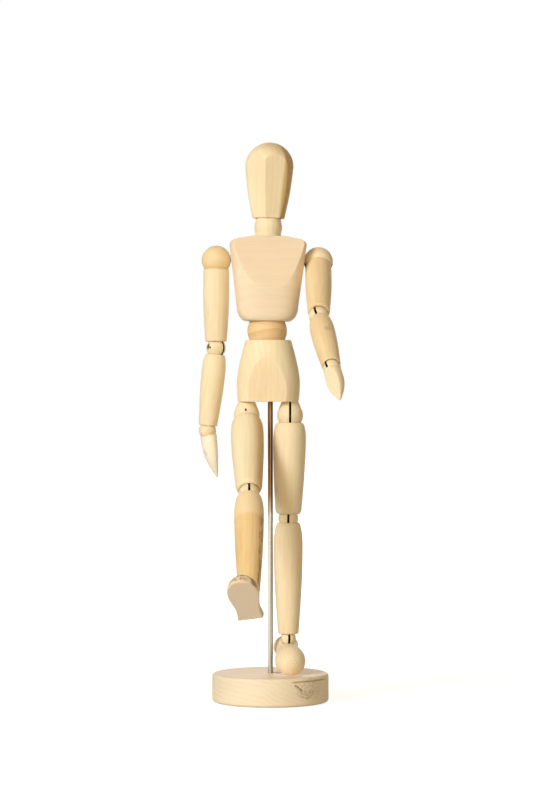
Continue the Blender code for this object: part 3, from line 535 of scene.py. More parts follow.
def new_material(name, roughness, metallic=0.0):
    made = bpy.data.materials.new(name)
    made.use_nodes = True
    shader = made.node_tree.nodes["Principled BSDF"]
    shader.inputs["Roughness"].default_value = roughness
    shader.inputs["Metallic"].default_value = metallic
    return made, made.node_tree, shader


def in_millimetres(tree, socket):
    scaled = tree.nodes.new('ShaderNodeVectorMath')
    scaled.operation = 'SCALE'
    scaled.inputs["Scale"].default_value = 1.0 / MM
    tree.links.new(socket, scaled.inputs[0])
    return scaled.outputs[0]


def read_attribute(tree, name):
    node = tree.nodes.new('ShaderNodeAttribute')
    node.attribute_name = name
    return in_millimetres(tree, node.outputs["Vector"])


def object_place(tree):
    """Object coordinates in millimetres."""
    return in_millimetres(tree, tree.nodes.new('ShaderNodeTexCoord').outputs["Object"])


def turned_about(tree, vector, about, degrees):
    node = tree.nodes.new('ShaderNodeVectorRotate')
    node.rotation_type = about + '_AXIS'
    node.inputs["Angle"].default_value = math.radians(degrees)
    tree.links.new(vector, node.inputs["Vector"])
    return node.outputs[0]


def noise(tree, vector, scale, stretch=(1.0, 1.0, 1.0), detail=2.0, rough=0.5):
    """A cloudy value about 0.5; stretch squeezes the pattern along each axis."""
    mapping = tree.nodes.new('ShaderNodeVectorMath')
    mapping.operation = 'MULTIPLY'
    mapping.inputs[1].default_value = stretch
    tree.links.new(vector, mapping.inputs[0])
    node = tree.nodes.new('ShaderNodeTexNoise')
    node.inputs["Scale"].default_value = scale
    node.inputs["Detail"].default_value = detail
    node.inputs["Roughness"].default_value = rough
    tree.links.new(mapping.outputs[0], node.inputs["Vector"])
    return Value(tree, node.outputs["Fac"])


def blended(tree, share, first, second, way='MIX'):
    """Two colours mixed by a share; each is a colour or a socket."""
    node = tree.nodes.new('ShaderNodeMix')
    node.data_type = 'RGBA'
    node.blend_type = way
    plug(tree, share, node.inputs["Factor"])
    for label, item in (("A", first), ("B", second)):
        socket = [entry for entry in node.inputs if entry.name == label and entry.type == 'RGBA'][0]
        if isinstance(item, bpy.types.NodeSocket):
            tree.links.new(item, socket)
        else:
            socket.default_value = (*item, 1.0)
    return [entry for entry in node.outputs if entry.type == 'RGBA'][0]


def near(tree, vector, centre, reach):
    """1 at a point of the blank, falling to 0 at an ellipsoid round it. Millimetres."""
    x, y, z = separated(tree, vector)
    offsets = [(value - place) / size for value, place, size in zip((x, y, z), centre, reach)]
    squares = offsets[0] * offsets[0] + offsets[1] * offsets[1] + offsets[2] * offsets[2]
    return 1.0 - squares.root().rise(0.0, 1.0)


def bumped(tree, shader, height, strength, distance):
    bump = tree.nodes.new('ShaderNodeBump')
    bump.inputs["Strength"].default_value = strength
    bump.inputs["Distance"].default_value = distance
    tree.links.new(height.socket, bump.inputs["Height"])
    tree.links.new(bump.outputs[0], shader.inputs["Normal"])


def knot(centre, reach, strength, brown=(0.24, 0.12, 0.04)):
    """A small knot or stained spot with a ragged edge; made broad and faint, it lays a patch of painted
    shade.
    """
    def touch(tree, own, fibre, colour):
        ragged = (near(tree, own, centre, reach) * (0.55 + fibre * 0.9)).rise(0.12, 0.75)
        return blended(tree, ragged * strength, colour, brown)
    return touch


def scuff(centre, reach, strength):
    """A rough bark-brown patch."""
    def touch(tree, own, fibre, colour):
        torn = noise(tree, own, 0.34, detail=3.0, rough=0.65)
        patch = (near(tree, own, centre, reach).rise(0.0, 0.55) * torn.rise(0.42, 0.56)) * strength
        return blended(tree, patch, colour, (0.34, 0.20, 0.09))
    return touch


def end_rings(strength, rise):
    """Faint tool rings on the end of a blank, round a point above its axis."""
    def touch(tree, own, fibre, colour):
        x, y, z = separated(tree, own)
        out = (x * x + (y - rise) * (y - rise)).root()
        tool = ((out * 3.9 + 1.9).sin() * 0.5 + 0.5) * (1.0 - out.rise(2.6, 4.0)) * z.rise(20.0, 24.0)
        return blended(tree, tool * strength, colour, (0.60, 0.42, 0.20))
    return touch


def side_streaks(bearing, half_width, top, bottom, strength, brown):
    """Ragged brown streaks down one side of a turned blank; the bearing is in degrees from X."""
    def touch(tree, own, fibre, colour):
        x, y, z = separated(tree, own)
        off = (y.bearing(x) - math.radians(bearing)).size()
        strip = 1.0 - off.rise(math.radians(half_width * 0.35), math.radians(half_width))
        ragged = noise(tree, own, 0.9, (1.0, 1.0, 0.16), 3.0, 0.6).rise(0.4, 0.62)
        run = z.rise(bottom - 3.0, bottom + 3.0) * (1.0 - z.rise(top - 3.0, top + 3.0))
        return blended(tree, strip * ragged * run * strength, colour, brown)
    return touch


def painted_side_shade(start, end, strength, brown, soft=5.0, fade=30.0):
    """Painted shade down one side, darker and warmer, between two bearings in degrees from X: soft and fade
    are how far its edges blur.
    """
    def touch(tree, own, fibre, colour):
        x, y, _ = separated(tree, own)
        turned_to = y.bearing(x)
        side = turned_to.rise(math.radians(start - soft), math.radians(start + soft))
        side = side * (1.0 - turned_to.rise(math.radians(end - fade), math.radians(end)))
        return blended(tree, side * (strength * (0.8 + (fibre - 0.5) * 0.8)), colour, brown)
    return touch


def paler_top(above, pale, strength):
    """Sapwood at the upper end of a limb."""
    def touch(tree, own, fibre, colour):
        _, _, z = separated(tree, own)
        share = (z + (fibre - 0.5) * 4.0).rise(above - 2.2, above + 2.2) * strength
        return blended(tree, share, colour, pale)
    return touch


def tan_sole(heel_height, toe_height, length, tan):
    """A planed sole, tanner than the round of the foot."""
    def touch(tree, own, fibre, colour):
        _, y, z = separated(tree, own)
        off = y + heel_height + z * ((toe_height - heel_height) / length)
        return blended(tree, (1.0 - off.rise(0.03, 0.12)) * (0.8 + fibre * 0.25), colour, tan)
    return touch


def wood(name, pale, deep, ring=2.6, ring_depth=0.12, angle=35.0, touches=()):
    """Satin beech: faint growth layers through the blank, fibres along it, fine flecks and soft clouds.

    touches are the marks that this piece alone has, laid on in order.
    """
    made, tree, shader = new_material(name, 0.5)
    grain = read_attribute(tree, "grain")
    own = read_attribute(tree, "blank")
    x, y, z = separated(tree, grain)
    sway = noise(tree, grain, 0.05, (1.0, 1.0, 0.35), 3.0) - 0.5
    wander = noise(tree, grain, 0.35, (1.0, 1.0, 0.12), 2.0) - 0.5
    way = math.radians(angle)
    layer = x * math.cos(way) + y * math.sin(way) + z * 0.035 + sway * 9.0 + wander * 1.3
    band = (layer / ring).fraction()
    late = band.rise(0.3, 0.93) * (1.0 - band.rise(0.94, 1.0))
    cloud = noise(tree, grain, 0.07, (1.0, 1.0, 0.5), 2.0)
    fibre = noise(tree, grain, 2.4, (1.0, 1.0, 0.045), 4.0, 0.6)
    streak = noise(tree, grain, 0.75, (1.0, 1.0, 0.02), 3.0, 0.55)
    fleck = noise(tree, grain, 5.0, (1.0, 1.0, 0.16), 1.0).rise(0.66, 0.76)
    depth = late * ring_depth + (fibre - 0.5) * 0.42 + (streak - 0.5) * 0.5 + (cloud - 0.5) * 0.55 + 0.22
    colour = blended(tree, depth.within(), pale, deep)
    colour = blended(tree, fleck * 0.12, colour, tuple(0.6 * part for part in deep))
    flat = tree.nodes.new('ShaderNodeAttribute')
    flat.attribute_name = "planed"
    colour = blended(tree, Value(tree, flat.outputs["Fac"]) * 0.9, colour, (0.985, 0.955, 0.925), 'MULTIPLY')
    for touch in touches:
        colour = touch(tree, own, fibre, colour)
    tree.links.new(colour, shader.inputs["Base Color"])
    tree.links.new((0.44 + fibre * 0.2).socket, shader.inputs["Roughness"])
    shader.inputs["Specular IOR Level"].default_value = 0.2
    shader.inputs["Subsurface Weight"].default_value = 0.2
    shader.inputs["Subsurface Radius"].default_value = (1.0, 0.5, 0.2)
    shader.inputs["Subsurface Scale"].default_value = 0.0022
    bumped(tree, shader, fibre * 0.6 + late * 0.25, 0.16, 0.00012)
    return made


def knot_figure(tree, own, ripple, colour):
    """The knot on the edge of the base: arcs below its heart, and two hatchings that cross beside it."""
    heart_x, heart_z = 20.5, 9.0
    hatch_slant = 32.0
    x, _, z = separated(tree, own)
    across, above = x - heart_x, z - heart_z
    away = (across * across + above * above * 1.4).root() + ripple * 2.4
    arcs = ((away * 3.0).sin() * 0.5 + 0.5) * (1.0 - above.rise(-1.0, 1.5)) * (1.0 - away.rise(4.0, 6.5))
    hatched = turned_about(tree, own, 'Y', hatch_slant)
    hatch = noise(tree, hatched, 1.5, (0.1, 1.0, 1.0), 2.0, 0.6).rise(0.47, 0.62)
    crossed = turned_about(tree, own, 'Y', DASH_SLANT)
    cross = noise(tree, crossed, 1.7, (0.14, 1.0, 1.0), 1.0).rise(0.5, 0.64) * across.rise(-1.0, 3.0)
    patch = near(tree, own, (22.5, -25.0, 10.0), (11.5, 16.0, 10.0)).rise(0.05, 0.4)
    figure = patch * (arcs * 0.6 + hatch * 0.4 + cross * 0.35).within()
    return blended(tree, figure * 0.8, colour, (0.33, 0.25, 0.15))


def knot_dash(tree, own, colour):
    """A broken dark dash that slants into the knot from the left."""
    centre, half_length, half_width = Vector((16.4, 0.0, 11.0)), 3.6, 0.8
    _, y, _ = separated(tree, own)
    x, _, z = separated(tree, turned_about(tree, own, 'Y', DASH_SLANT))
    slant = math.radians(DASH_SLANT)
    centre_x = centre.x * math.cos(slant) + centre.z * math.sin(slant)
    centre_z = centre.z * math.cos(slant) - centre.x * math.sin(slant)
    off = ((x - centre_x) / half_length).size().high(((z - centre_z) / half_width).size())
    broken = 0.35 + noise(tree, own, 1.1, detail=1.0).rise(0.4, 0.6)
    dash = (1.0 - off.rise(0.45, 1.0)) * broken * (1.0 - y.rise(-20.0, -12.0))
    return blended(tree, dash.within() * 0.85, colour, (0.22, 0.15, 0.09))


def dark_layer(tree, own, ripple, colour):
    """One dark growth layer along the upper edge, over the knot."""
    height = 14.6
    x, y, z = separated(tree, own)
    layer = 1.0 - ((z - height) + ripple * 0.9).size().rise(0.2, 0.65)
    layer = layer * x.rise(11.0, 15.0) * (1.0 - x.rise(30.0, 34.0)) * (1.0 - y.rise(-14.0, -8.0))
    return blended(tree, layer * 0.75, colour, (0.36, 0.22, 0.10))


def painted_rod_shadow(tree, own, colour):
    """Painted shadow of the rod: a brown patch on top, beside the rod's hole."""
    # A brown patch of painted shadow where the rod meets the base
    shadow_spot = near(tree, own, (4.2, -0.5, BASE_THICKNESS), (4.4, 6.5, 1.2))
    return blended(tree, shadow_spot.rise(0.12, 0.5) * 0.85, colour, (0.22, 0.13, 0.06))


def base_wood(name):
    """The plank of the base: growth lines that dip to the right across its edge, with a knot figure."""
    made, tree, shader = new_material(name, 0.5)
    own = read_attribute(tree, "blank")
    x, y, z = separated(tree, own)
    warp = noise(tree, own, 0.045, (0.6, 1.0, 1.0), 2.0) - 0.5
    ripple = noise(tree, own, 0.3, (0.35, 1.0, 1.0), 3.0) - 0.5
    right = x.rise(-8.0, 8.0)
    dip = (x + 4.0).high(0.0)
    layer = z + dip * 0.55 + y * y * 0.010 + y * 0.25 + x * 0.03 + warp * 6.0 + ripple * 1.1
    band = (layer / 3.1).fraction()
    close_band = (layer / 1.45 + 0.3).fraction()
    strength = noise(tree, own, 0.09, (0.4, 1.0, 1.4), 2.0).rise(0.3, 0.7)
    late = band.rise(0.6, 0.9) * (1.0 - band.rise(0.92, 1.0)) * strength * (1.0 - right * 0.5)
    close_late = close_band.rise(0.6, 0.9) * (1.0 - close_band.rise(0.92, 1.0))
    late = late + close_late * right * (0.35 + strength * 0.5)
    fibre = noise(tree, own, 1.6, (0.05, 1.0, 1.0), 4.0, 0.6)
    cloud = noise(tree, own, 0.06, (0.5, 1.0, 1.0), 2.0)
    on_top = z.rise(BASE_THICKNESS - 0.65, BASE_THICKNESS - 0.42)
    pale = blended(tree, on_top, (0.92, 0.81, 0.61), (0.93, 0.77, 0.61))
    deep = blended(tree, on_top, (0.74, 0.59, 0.39), (0.76, 0.60, 0.44))
    depth = late * 0.42 + (fibre - 0.5) * 0.5 + (cloud - 0.5) * 0.5 + 0.18
    colour = blended(tree, depth.within(), pale, deep)
    colour = knot_figure(tree, own, ripple, colour)
    colour = knot_dash(tree, own, colour)
    colour = dark_layer(tree, own, ripple, colour)
    colour = painted_rod_shadow(tree, own, colour)
    tree.links.new(colour, shader.inputs["Base Color"])
    tree.links.new((0.46 + fibre * 0.2).socket, shader.inputs["Roughness"])
    shader.inputs["Specular IOR Level"].default_value = 0.25
    bumped(tree, shader, fibre * 0.6 + late * 0.3, 0.16, 0.00012)
    return made


def steel(name, bright, dull, roughness, scratch):
    """Drawn steel: faint lines along the wire and a dull film in patches."""
    made, tree, shader = new_material(name, roughness, 1.0)
    place = object_place(tree)
    lines = noise(tree, place, 6.0, (1.0, 1.0, 0.01), 3.0)
    film = noise(tree, place, 0.09, (1.0, 1.0, 0.6), 4.0)
    colour = blended(tree, (film.rise(0.4, 0.75) * 0.6 + lines * 0.25).within(), bright, dull)
    tree.links.new(colour, shader.inputs["Base Color"])
    tree.links.new((roughness + lines * 0.06 + film.rise(0.5, 0.8) * 0.12).socket, shader.inputs["Roughness"])
    bumped(tree, shader, lines, scratch, 0.00003)
    return made


def sawn_shade_wood(name):
    """The faces inside a ball's saw cut and pin hole: rough, and near black, which is painted shade of the
    deep cut.
    """
    made, tree, shader = new_material(name, 1.0)
    shader.inputs["Specular IOR Level"].default_value = 0.0
    marks = noise(tree, object_place(tree), 1.4, (1.0, 1.0, 0.3), 3.0)
    tree.links.new(blended(tree, marks.rise(0.3, 0.7), (0.012, 0.007, 0.003), (0.035, 0.02, 0.008)),
                   shader.inputs["Base Color"])
    return made


def rod_steel(name):
    """The rod: drawn steel with bright and dark lines, and a brown film on its upper part; lines and film are
    partly painted reflection.
    """
    made, tree, shader = new_material(name, 0.3, 1.0)
    place = object_place(tree)
    _, _, z = separated(tree, place)
    lines = noise(tree, place, 1.1, (1.0, 1.0, 0.004), 2.0)
    fine = noise(tree, place, 6.0, (1.0, 1.0, 0.01), 3.0)
    patch = noise(tree, place, 0.12, (1.0, 1.0, 0.5), 4.0) - 0.5
    # Brown over the upper rod: partly a film, partly painted reflection of the wooden figure around it
    film = (z + patch * 50.0).rise(98.0, 124.0)
    # Bright and dark lines round the rod: drawing marks, and painted reflection streaks
    bare = blended(tree, lines.rise(0.36, 0.64), (0.62, 0.60, 0.52), (0.20, 0.18, 0.14))
    brown = blended(tree, lines.rise(0.34, 0.7), (0.25, 0.10, 0.012), (0.09, 0.034, 0.005))
    colour = blended(tree, film * 0.94, bare, brown)
    colour = blended(tree, (fine - 0.5).rise(0.0, 0.3) * 0.3, colour, (0.12, 0.085, 0.05))
    tree.links.new(colour, shader.inputs["Base Color"])
    tree.links.new((0.2 + fine * 0.08 + film * 0.2).socket, shader.inputs["Roughness"])
    bumped(tree, shader, fine, 0.15, 0.00003)
    return made


# The woods: a pale and a deep colour each, and the marks of single pieces
PALE = (0.92, 0.80, 0.56)
DEEP = (0.77, 0.59, 0.34)
WARM_PALE = (0.89, 0.71, 0.43)
WARM_DEEP = (0.72, 0.50, 0.25)
PLAIN = wood("plain_beech", PALE, DEEP)
WARM = wood("warm_beech", WARM_PALE, WARM_DEEP)
ROSY = wood("rosy_beech", (0.89, 0.76, 0.57), (0.78, 0.61, 0.42), ring=5.5, angle=20.0)
# The raised thigh's darker orange-brown right side is painted shade
RAISED_THIGH = wood("painted_shade_edge_beech", PALE, DEEP, touches=[
    painted_side_shade(start=-58.0, end=70.0, strength=0.7, brown=(0.60, 0.34, 0.09), soft=24.0)])
RAISED_SHIN = wood("streaked_beech", (0.87, 0.65, 0.34), (0.68, 0.43, 0.17), touches=[
    paler_top(above=-20.0, pale=(0.89, 0.74, 0.47), strength=0.75),
    side_streaks(bearing=-32.0, half_width=20.0, top=-20.0, bottom=-66.0, strength=0.75,
                 brown=(0.28, 0.13, 0.04))])
FOREARM_KNOT = wood("knotted_beech", WARM_PALE, WARM_DEEP, touches=[
    knot((4.5, -5.4, -20.5), (3.6, 3.8, 3.6), 0.24)])
WAIST = wood("waist_beech", (0.84, 0.63, 0.35), (0.64, 0.41, 0.18), ring=4.2, ring_depth=0.35, angle=12.0)
# The head's brown right side is painted shade with a little darker heartwood tone; the broad warm patch over
# the crown is painted shade of the top, partly a warmer tone of the wood
HEAD = wood("head_beech", PALE, DEEP, ring=3.4, touches=[
    painted_side_shade(start=-36.0, end=120.0, strength=0.85, brown=(0.44, 0.22, 0.012), fade=100.0),
    knot((-14.0, -4.0, 26.0), (1.2, 2.0, 1.0), 0.6),
    knot((4.0, -2.0, 45.0), (17.0, 17.0, 12.0), 0.4, (0.62, 0.40, 0.15))])
# The right hand's very pale wood is partly its own tone and partly painted light, as its palm faces the key
# lamp
PALE_AND_PAINTED_LIGHT_HAND = wood("pale_beech", (0.95, 0.90, 0.75), (0.86, 0.76, 0.57), touches=[
    scuff((-3.0, 3.8, -12.5), (2.8, 2.4, 3.2), 0.4)])
TOE = wood("toe_beech", PALE, DEEP, touches=[end_rings(strength=0.35, rise=1.6)])
RAISED_TOE = wood("scuffed_beech", (0.88, 0.74, 0.52), (0.74, 0.56, 0.33), touches=[
    scuff((0.0, 3.0, 27.5), (10.0, 7.0, 5.0), 0.9),
    scuff((6.5, 1.0, 24.0), (4.0, 5.0, 5.0), 0.9),
    tan_sole(FOOT_HEEL_AXIS_HEIGHT, FOOT_TOE_AXIS_HEIGHT["right"], FOOT_LENGTH, (0.86, 0.73, 0.58))])
DOTTED_HIP = wood("dotted_ball_beech", PALE, DEEP, touches=[
    knot((-0.7, -6.95, 3.4), (1.2, 1.6, 1.5), 1.0, (0.03, 0.02, 0.01))])
GLUED_ELBOW = wood("glued_ball_beech", PALE, DEEP, touches=[
    knot((-5.2, 1.8, 0.5), (2.7, 2.1, 3.3), 1.0, (0.10, 0.095, 0.012))])
SAWN_SHADE = sawn_shade_wood("sawn_painted_shade_beech")
BASE = base_wood("base_beech")
ROD = rod_steel("drawn_rod_steel")
# Pins and springs are steel made almost black: dark steel, and painted shade of the slots and holes they are
# seen through
PIN = steel("dull_pin_steel", (0.055, 0.052, 0.02), (0.03, 0.028, 0.012), roughness=0.55, scratch=0.2)
SPRING = steel("spring_steel_painted_shade", (0.06, 0.052, 0.042), (0.028, 0.024, 0.02), roughness=0.5, scratch=0.2)


# Stand

def make_base():
    radius, thickness, edge = BASE_RADIUS, BASE_THICKNESS, 1.8
    hole, hole_floor, bevel = ROD_HOLE, 6.5, 0.25
    outline = [(0.0, hole_floor), (hole, hole_floor), (hole, thickness - bevel), (hole + bevel, thickness)]
    outline += line((hole + bevel, thickness), (radius - edge, thickness), 24)
    outline += arc((radius - edge, thickness - edge), edge, 90.0, 0.0, 8)
    outline += line((radius, thickness - edge), (radius, edge), 14)
    outline += arc((radius - edge, edge), edge, 0.0, -90.0, 8)
    outline += line((radius - edge, 0.0), (0.0, 0.0), 6) + [(0.0, 0.0)]
    settle("base_disc", turned(outline, sides=160, finish=BASE), Matrix.Identity(4))


def make_rod():
    low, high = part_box("support_rod")
    low, high = low.z / MM, high.z / MM
    radius, bevel = 1.5, 0.3
    outline = [(0.0, high), (radius - bevel, high), (radius, high - bevel)]
    outline += line((radius, high - bevel), (radius, low + bevel), 40)
    outline += [(radius, low + bevel), (radius - bevel, low), (0.0, low)]
    settle("support_rod", turned(outline, sides=40, finish=ROD), Matrix.Identity(4))


# Trunk

PELVIS_SQUARENESS = 2.1
CHEST_SQUARENESS = 2.7


def loft(rings, sides, finish):
    """Join rings of one size into a skin; each ring is a function of the angle that gives a point."""
    angles = [2.0 * math.pi * i / sides for i in range(sides)]
    points = np.array([[ring(angle) for angle in angles] for ring in rings]).reshape(-1, 3)
    faces = []
    for row in range(len(rings)):
        above = row * sides
        below = (row + 1) % len(rings) * sides
        for i in range(sides):
            after = (i + 1) % sides
            faces.append((above + i, below + i, below + after, above + after))
    mesh = bpy.data.meshes.new("loft")
    mesh.from_pydata(points * MM, [], faces)
    work = bmesh.new()
    work.from_mesh(mesh)
    bmesh.ops.remove_doubles(work, verts=work.verts, dist=WELD * MM)
    bmesh.ops.dissolve_degenerate(work, dist=WELD * MM / 2.0, edges=work.edges)
    bmesh.ops.recalc_face_normals(work, faces=work.faces)
    work.to_mesh(mesh)
    work.free()
    mesh.materials.append(finish)
    return mesh


def squarish(squareness, half_width, half_depth, height, offset=0.0):
    """A ring between an ellipse, which has a squareness of 2, and a box."""
    power = 2.0 / squareness

    def ring(angle):
        across = math.copysign(abs(math.cos(angle)) ** power, math.cos(angle))
        along = math.copysign(abs(math.sin(angle)) ** power, math.sin(angle))
        return (offset + half_width * across, half_depth * along, height)
    return ring


def round_ring(radius, height, offset=0.0):
    return lambda angle: (offset + radius * math.cos(angle), radius * math.sin(angle), height)


def cup_rings(ball, centre, rim_height, upward, offset=0.0):
    """Rings of a ball's cup from its rim to the spine's bore."""
    radius, steps = ball + CUP_GAP, 10
    rim = math.asin(min(1.0, math.sqrt(radius ** 2 - (rim_height - centre) ** 2) / radius))
    inner = math.asin(SPINE_BORE / radius)
    rings = []
    for i in range(steps + 1):
        angle = rim + (inner - rim) * i / steps
        rings.append(round_ring(radius * math.sin(angle), centre + upward * radius * math.cos(angle), offset))
    return rings


# Half the pelvis's width and depth: at its foot, at its widest and at its top, and the power of the taper
PELVIS_WIDTH = (18.1, 18.8, 13.5, 1.4)
PELVIS_DEPTH = (12.4, 13.7, 12.0, 1.6)
PELVIS_HEIGHT = 36.6
PELVIS_WIDEST_AT = 12.0
PELVIS_CORNER = 0.5
WAIST_RADIUS = 11.8
WAIST_REVEAL = 5.6


def pelvis_half(sizes, height):
    foot, widest, top, power = sizes
    if height < PELVIS_WIDEST_AT:
        return between(foot, widest, math.sin(math.pi / 2.0 * height / PELVIS_WIDEST_AT))
    share = (height - PELVIS_WIDEST_AT) / (PELVIS_HEIGHT - PELVIS_WIDEST_AT)
    return widest + (top - widest) * share ** power


def make_pelvis():
    body, spine = -1.2, -1.9
    facet_top, facet_half, facet_edge, corner, bevel = 26.7, 11.0, 0.1, PELVIS_CORNER, 0.3
    spine_floor, rod_depth, pin_height, through = 17.85, 12.0, 19.5, 40.0
    half, deep = PELVIS_WIDTH[0], PELVIS_DEPTH[0]

    def section(half_width, half_depth, height):
        return squarish(PELVIS_SQUARENESS, half_width, half_depth, height, body)

    rings = [section(PELVIS_WIDTH[2] - bevel, PELVIS_DEPTH[2] - bevel, PELVIS_HEIGHT)]
    rows = 96
    for i in range(rows + 1):
        height = between(PELVIS_HEIGHT - bevel, corner, i / rows)
        rings.append(section(pelvis_half(PELVIS_WIDTH, height), pelvis_half(PELVIS_DEPTH, height), height))
    for step in (0.5, 1.0):
        inset = corner * (1.0 - math.cos(math.pi / 2.0 * step))
        rings.append(section(half - inset, deep - inset, corner * (1.0 - math.sin(math.pi / 2.0 * step))))
    for share in (0.75, 0.5, 0.25, 0.0):
        rings.append(section((half - corner) * share, (deep - corner) * share, 0.0))
    centre = PELVIS_HEIGHT + WAIST_REVEAL
    cup = cup_rings(WAIST_RADIUS, centre, PELVIS_HEIGHT, -1.0, spine)
    rings += [round_ring(0.0, spine_floor, spine), round_ring(SPINE_BORE, spine_floor, spine)] + cup[::-1]
    mesh = loft(rings, sides=320, finish=PLAIN)
    low = deep * (1.0 - (facet_half / half) ** PELVIS_SQUARENESS) ** (1.0 / PELVIS_SQUARENESS)
    high = pelvis_half(PELVIS_DEPTH, facet_top)
    lean = math.atan2(high - low, facet_top)
    flat = ((0.0, -math.cos(lean), -math.sin(lean)), low * math.cos(lean))
    planed(mesh, *flat, facet_edge)
    holes = [bar(ROD_HOLE, -1.0, rod_depth, Matrix.Identity(4)),
             bar(PIN_HOLE, -through, through, shift(z=pin_height) @ turn('Y', 90.0), sides=16)]
    place = framed(spot("pelvis_turn"), Vector((0.0, 0.0, 1.0)), axis("waist_bend"))
    settle("pelvis", cut(mesh, holes), place, PLANED_SHARP, flats=[flat])


def make_waist():
    flat = 78.0
    outline = arc((0.0, 0.0), WAIST_RADIUS, flat, -flat, 40)
    outline += [(SPINE_BORE, outline[-1][1]), (SPINE_BORE, outline[0][1]), outline[0]]
    place = framed(spot("waist_bend"), Vector((0.0, 0.0, 1.0)), axis("waist_bend"))
    mesh = turned(outline, sides=80, finish=WAIST)
    settle("waist_ball", mesh, place, grain=turn('Y', 90.0))


CHEST_HEIGHT = 50.5
CHEST_DROP = 1.4
CHEST_WIDEST_AT = CHEST_HEIGHT - 5.0
CHEST_LOWER_AT = 8.2
CHEST_EDGE = 4.0
CHEST_EDGE_DEPTH = 1.5
CHEST_DEPTH = (13.0, 15.0)
CHEST_FACET_BOTTOM = 19.5
CHEST_TOP_HALF_WIDTH = 16.5
SHOULDER_AT = CHEST_HEIGHT - 14.4
SHOULDER_SET_BACK = 4.5


def chest_half_width(height):
    bottom, lower, widest, top = 12.9, 18.2, 22.95, CHEST_TOP_HALF_WIDTH
    if height < CHEST_LOWER_AT:
        return between(bottom, lower, (1.0 - (1.0 - height / CHEST_LOWER_AT) ** 2) ** 0.6)
    share = (height - CHEST_LOWER_AT) / (CHEST_WIDEST_AT - CHEST_LOWER_AT)
    if share < 1.0:
        return between(lower, widest, share)
    share = min(1.0, (height - CHEST_WIDEST_AT) / (CHEST_HEIGHT - CHEST_DROP - CHEST_WIDEST_AT))
    return top + (widest - top) * math.sqrt(1.0 - share ** 2)


def chest_half_depth(height):
    rounded = 1.0 - math.sqrt(1.0 - max(0.0, 1.0 - height / CHEST_EDGE) ** 2)
    return between(*CHEST_DEPTH, height / CHEST_FACET_BOTTOM) - CHEST_EDGE_DEPTH * rounded


def make_chest():
    """The chest's heights count from its underside; its origin is the waist ball's centre."""
    lift, through = WAIST_REVEAL, 40.0
    shoulder_top = CHEST_HEIGHT - CHEST_DROP
    rings = []

    def add_section(height):
        half, deep = chest_half_width(height), chest_half_depth(height)
        rings.append(squarish(CHEST_SQUARENESS, half, deep, lift + height))

    rim = NECK_END + 2.0 * CUP_GAP + RIM_LAND
    for i in range(9):
        share = i / 8.0
        half = between(rim, CHEST_TOP_HALF_WIDTH, share)
        deep = between(rim, chest_half_depth(shoulder_top), share)
        rings.append(squarish(CHEST_SQUARENESS, half, deep, lift + CHEST_HEIGHT - CHEST_DROP * share ** 2))
    for i in range(1, 17):
        ease = 1.0 - math.cos(math.pi / 2.0 * i / 16.0)
        add_section(shoulder_top - (shoulder_top - CHEST_WIDEST_AT) * ease)
    for i in range(1, 81):
        add_section(between(CHEST_WIDEST_AT, CHEST_LOWER_AT, i / 80.0))
    for i in range(1, 19):
        add_section(CHEST_LOWER_AT * (1.0 - math.sin(math.pi / 2.0 * i / 18.0)))
    rings += cup_rings(WAIST_RADIUS, 0.0, lift, 1.0)
    top = lift + CHEST_HEIGHT
    rings += cup_rings(NECK_END, top + NECK_SEAT, top, -1.0)[::-1]
    mesh = loft(rings, sides=320, finish=ROSY)
    facet_bottom, wide_share, facet_edge, shoulder_dish = CHEST_FACET_BOTTOM, 0.92, 0.35, 0.5
    high = CHEST_DEPTH[1] * (1.0 - wide_share ** CHEST_SQUARENESS) ** (1.0 / CHEST_SQUARENESS)
    low = chest_half_depth(facet_bottom)
    lean = math.atan2(low - high, CHEST_WIDEST_AT - facet_bottom)
    level = low * math.cos(lean) + (lift + facet_bottom) * math.sin(lean)
    flat = ((0.0, -math.cos(lean), math.sin(lean)), level)
    planed(mesh, *flat, facet_edge)
    cup = BALLS["shoulder"][0] + CUP_GAP
    out = chest_half_width(SHOULDER_AT) + cup - shoulder_dish
    for side in SIDES.values():
        dished(mesh, (side * out, SHOULDER_SET_BACK, lift + SHOULDER_AT), cup, (-side, 0.0, 0.0))
    bore_place = shift(0.0, SHOULDER_SET_BACK, lift + SHOULDER_AT) @ turn('Y', 90.0)
    bores = [bar(SPRING_BORE, -through, through, bore_place)]
    place = framed(spot("waist_bend"), spot("neck_nod") - spot("waist_bend"), axis("neck_nod"))
    settle("chest", cut(mesh, bores), place, PLANED_SHARP, grain=turn('Y', 90.0), flats=[flat])


def make_neck():
    radius, end, length, flat = 8.3, NECK_END, 10.6, 70.0
    span = length - 2.0 * NECK_SEAT
    outline = arc((0.0, span), end, flat, 0.0, 14)
    outline += [(end + (radius - end) * math.sin(math.pi * i / 14.0), span * (1.0 - i / 14.0))
                for i in range(1, 14)]
    outline += arc((0.0, 0.0), end, 0.0, -flat, 14)
    outline += [(SPINE_BORE, outline[-1][1]), (SPINE_BORE, outline[0][1]), outline[0]]
    place = framed(spot("neck_nod"), spot("head_turn") - spot("neck_nod"), axis("neck_nod"))
    settle("neck_barrel", turned(outline, sides=72, finish=PLAIN), place)


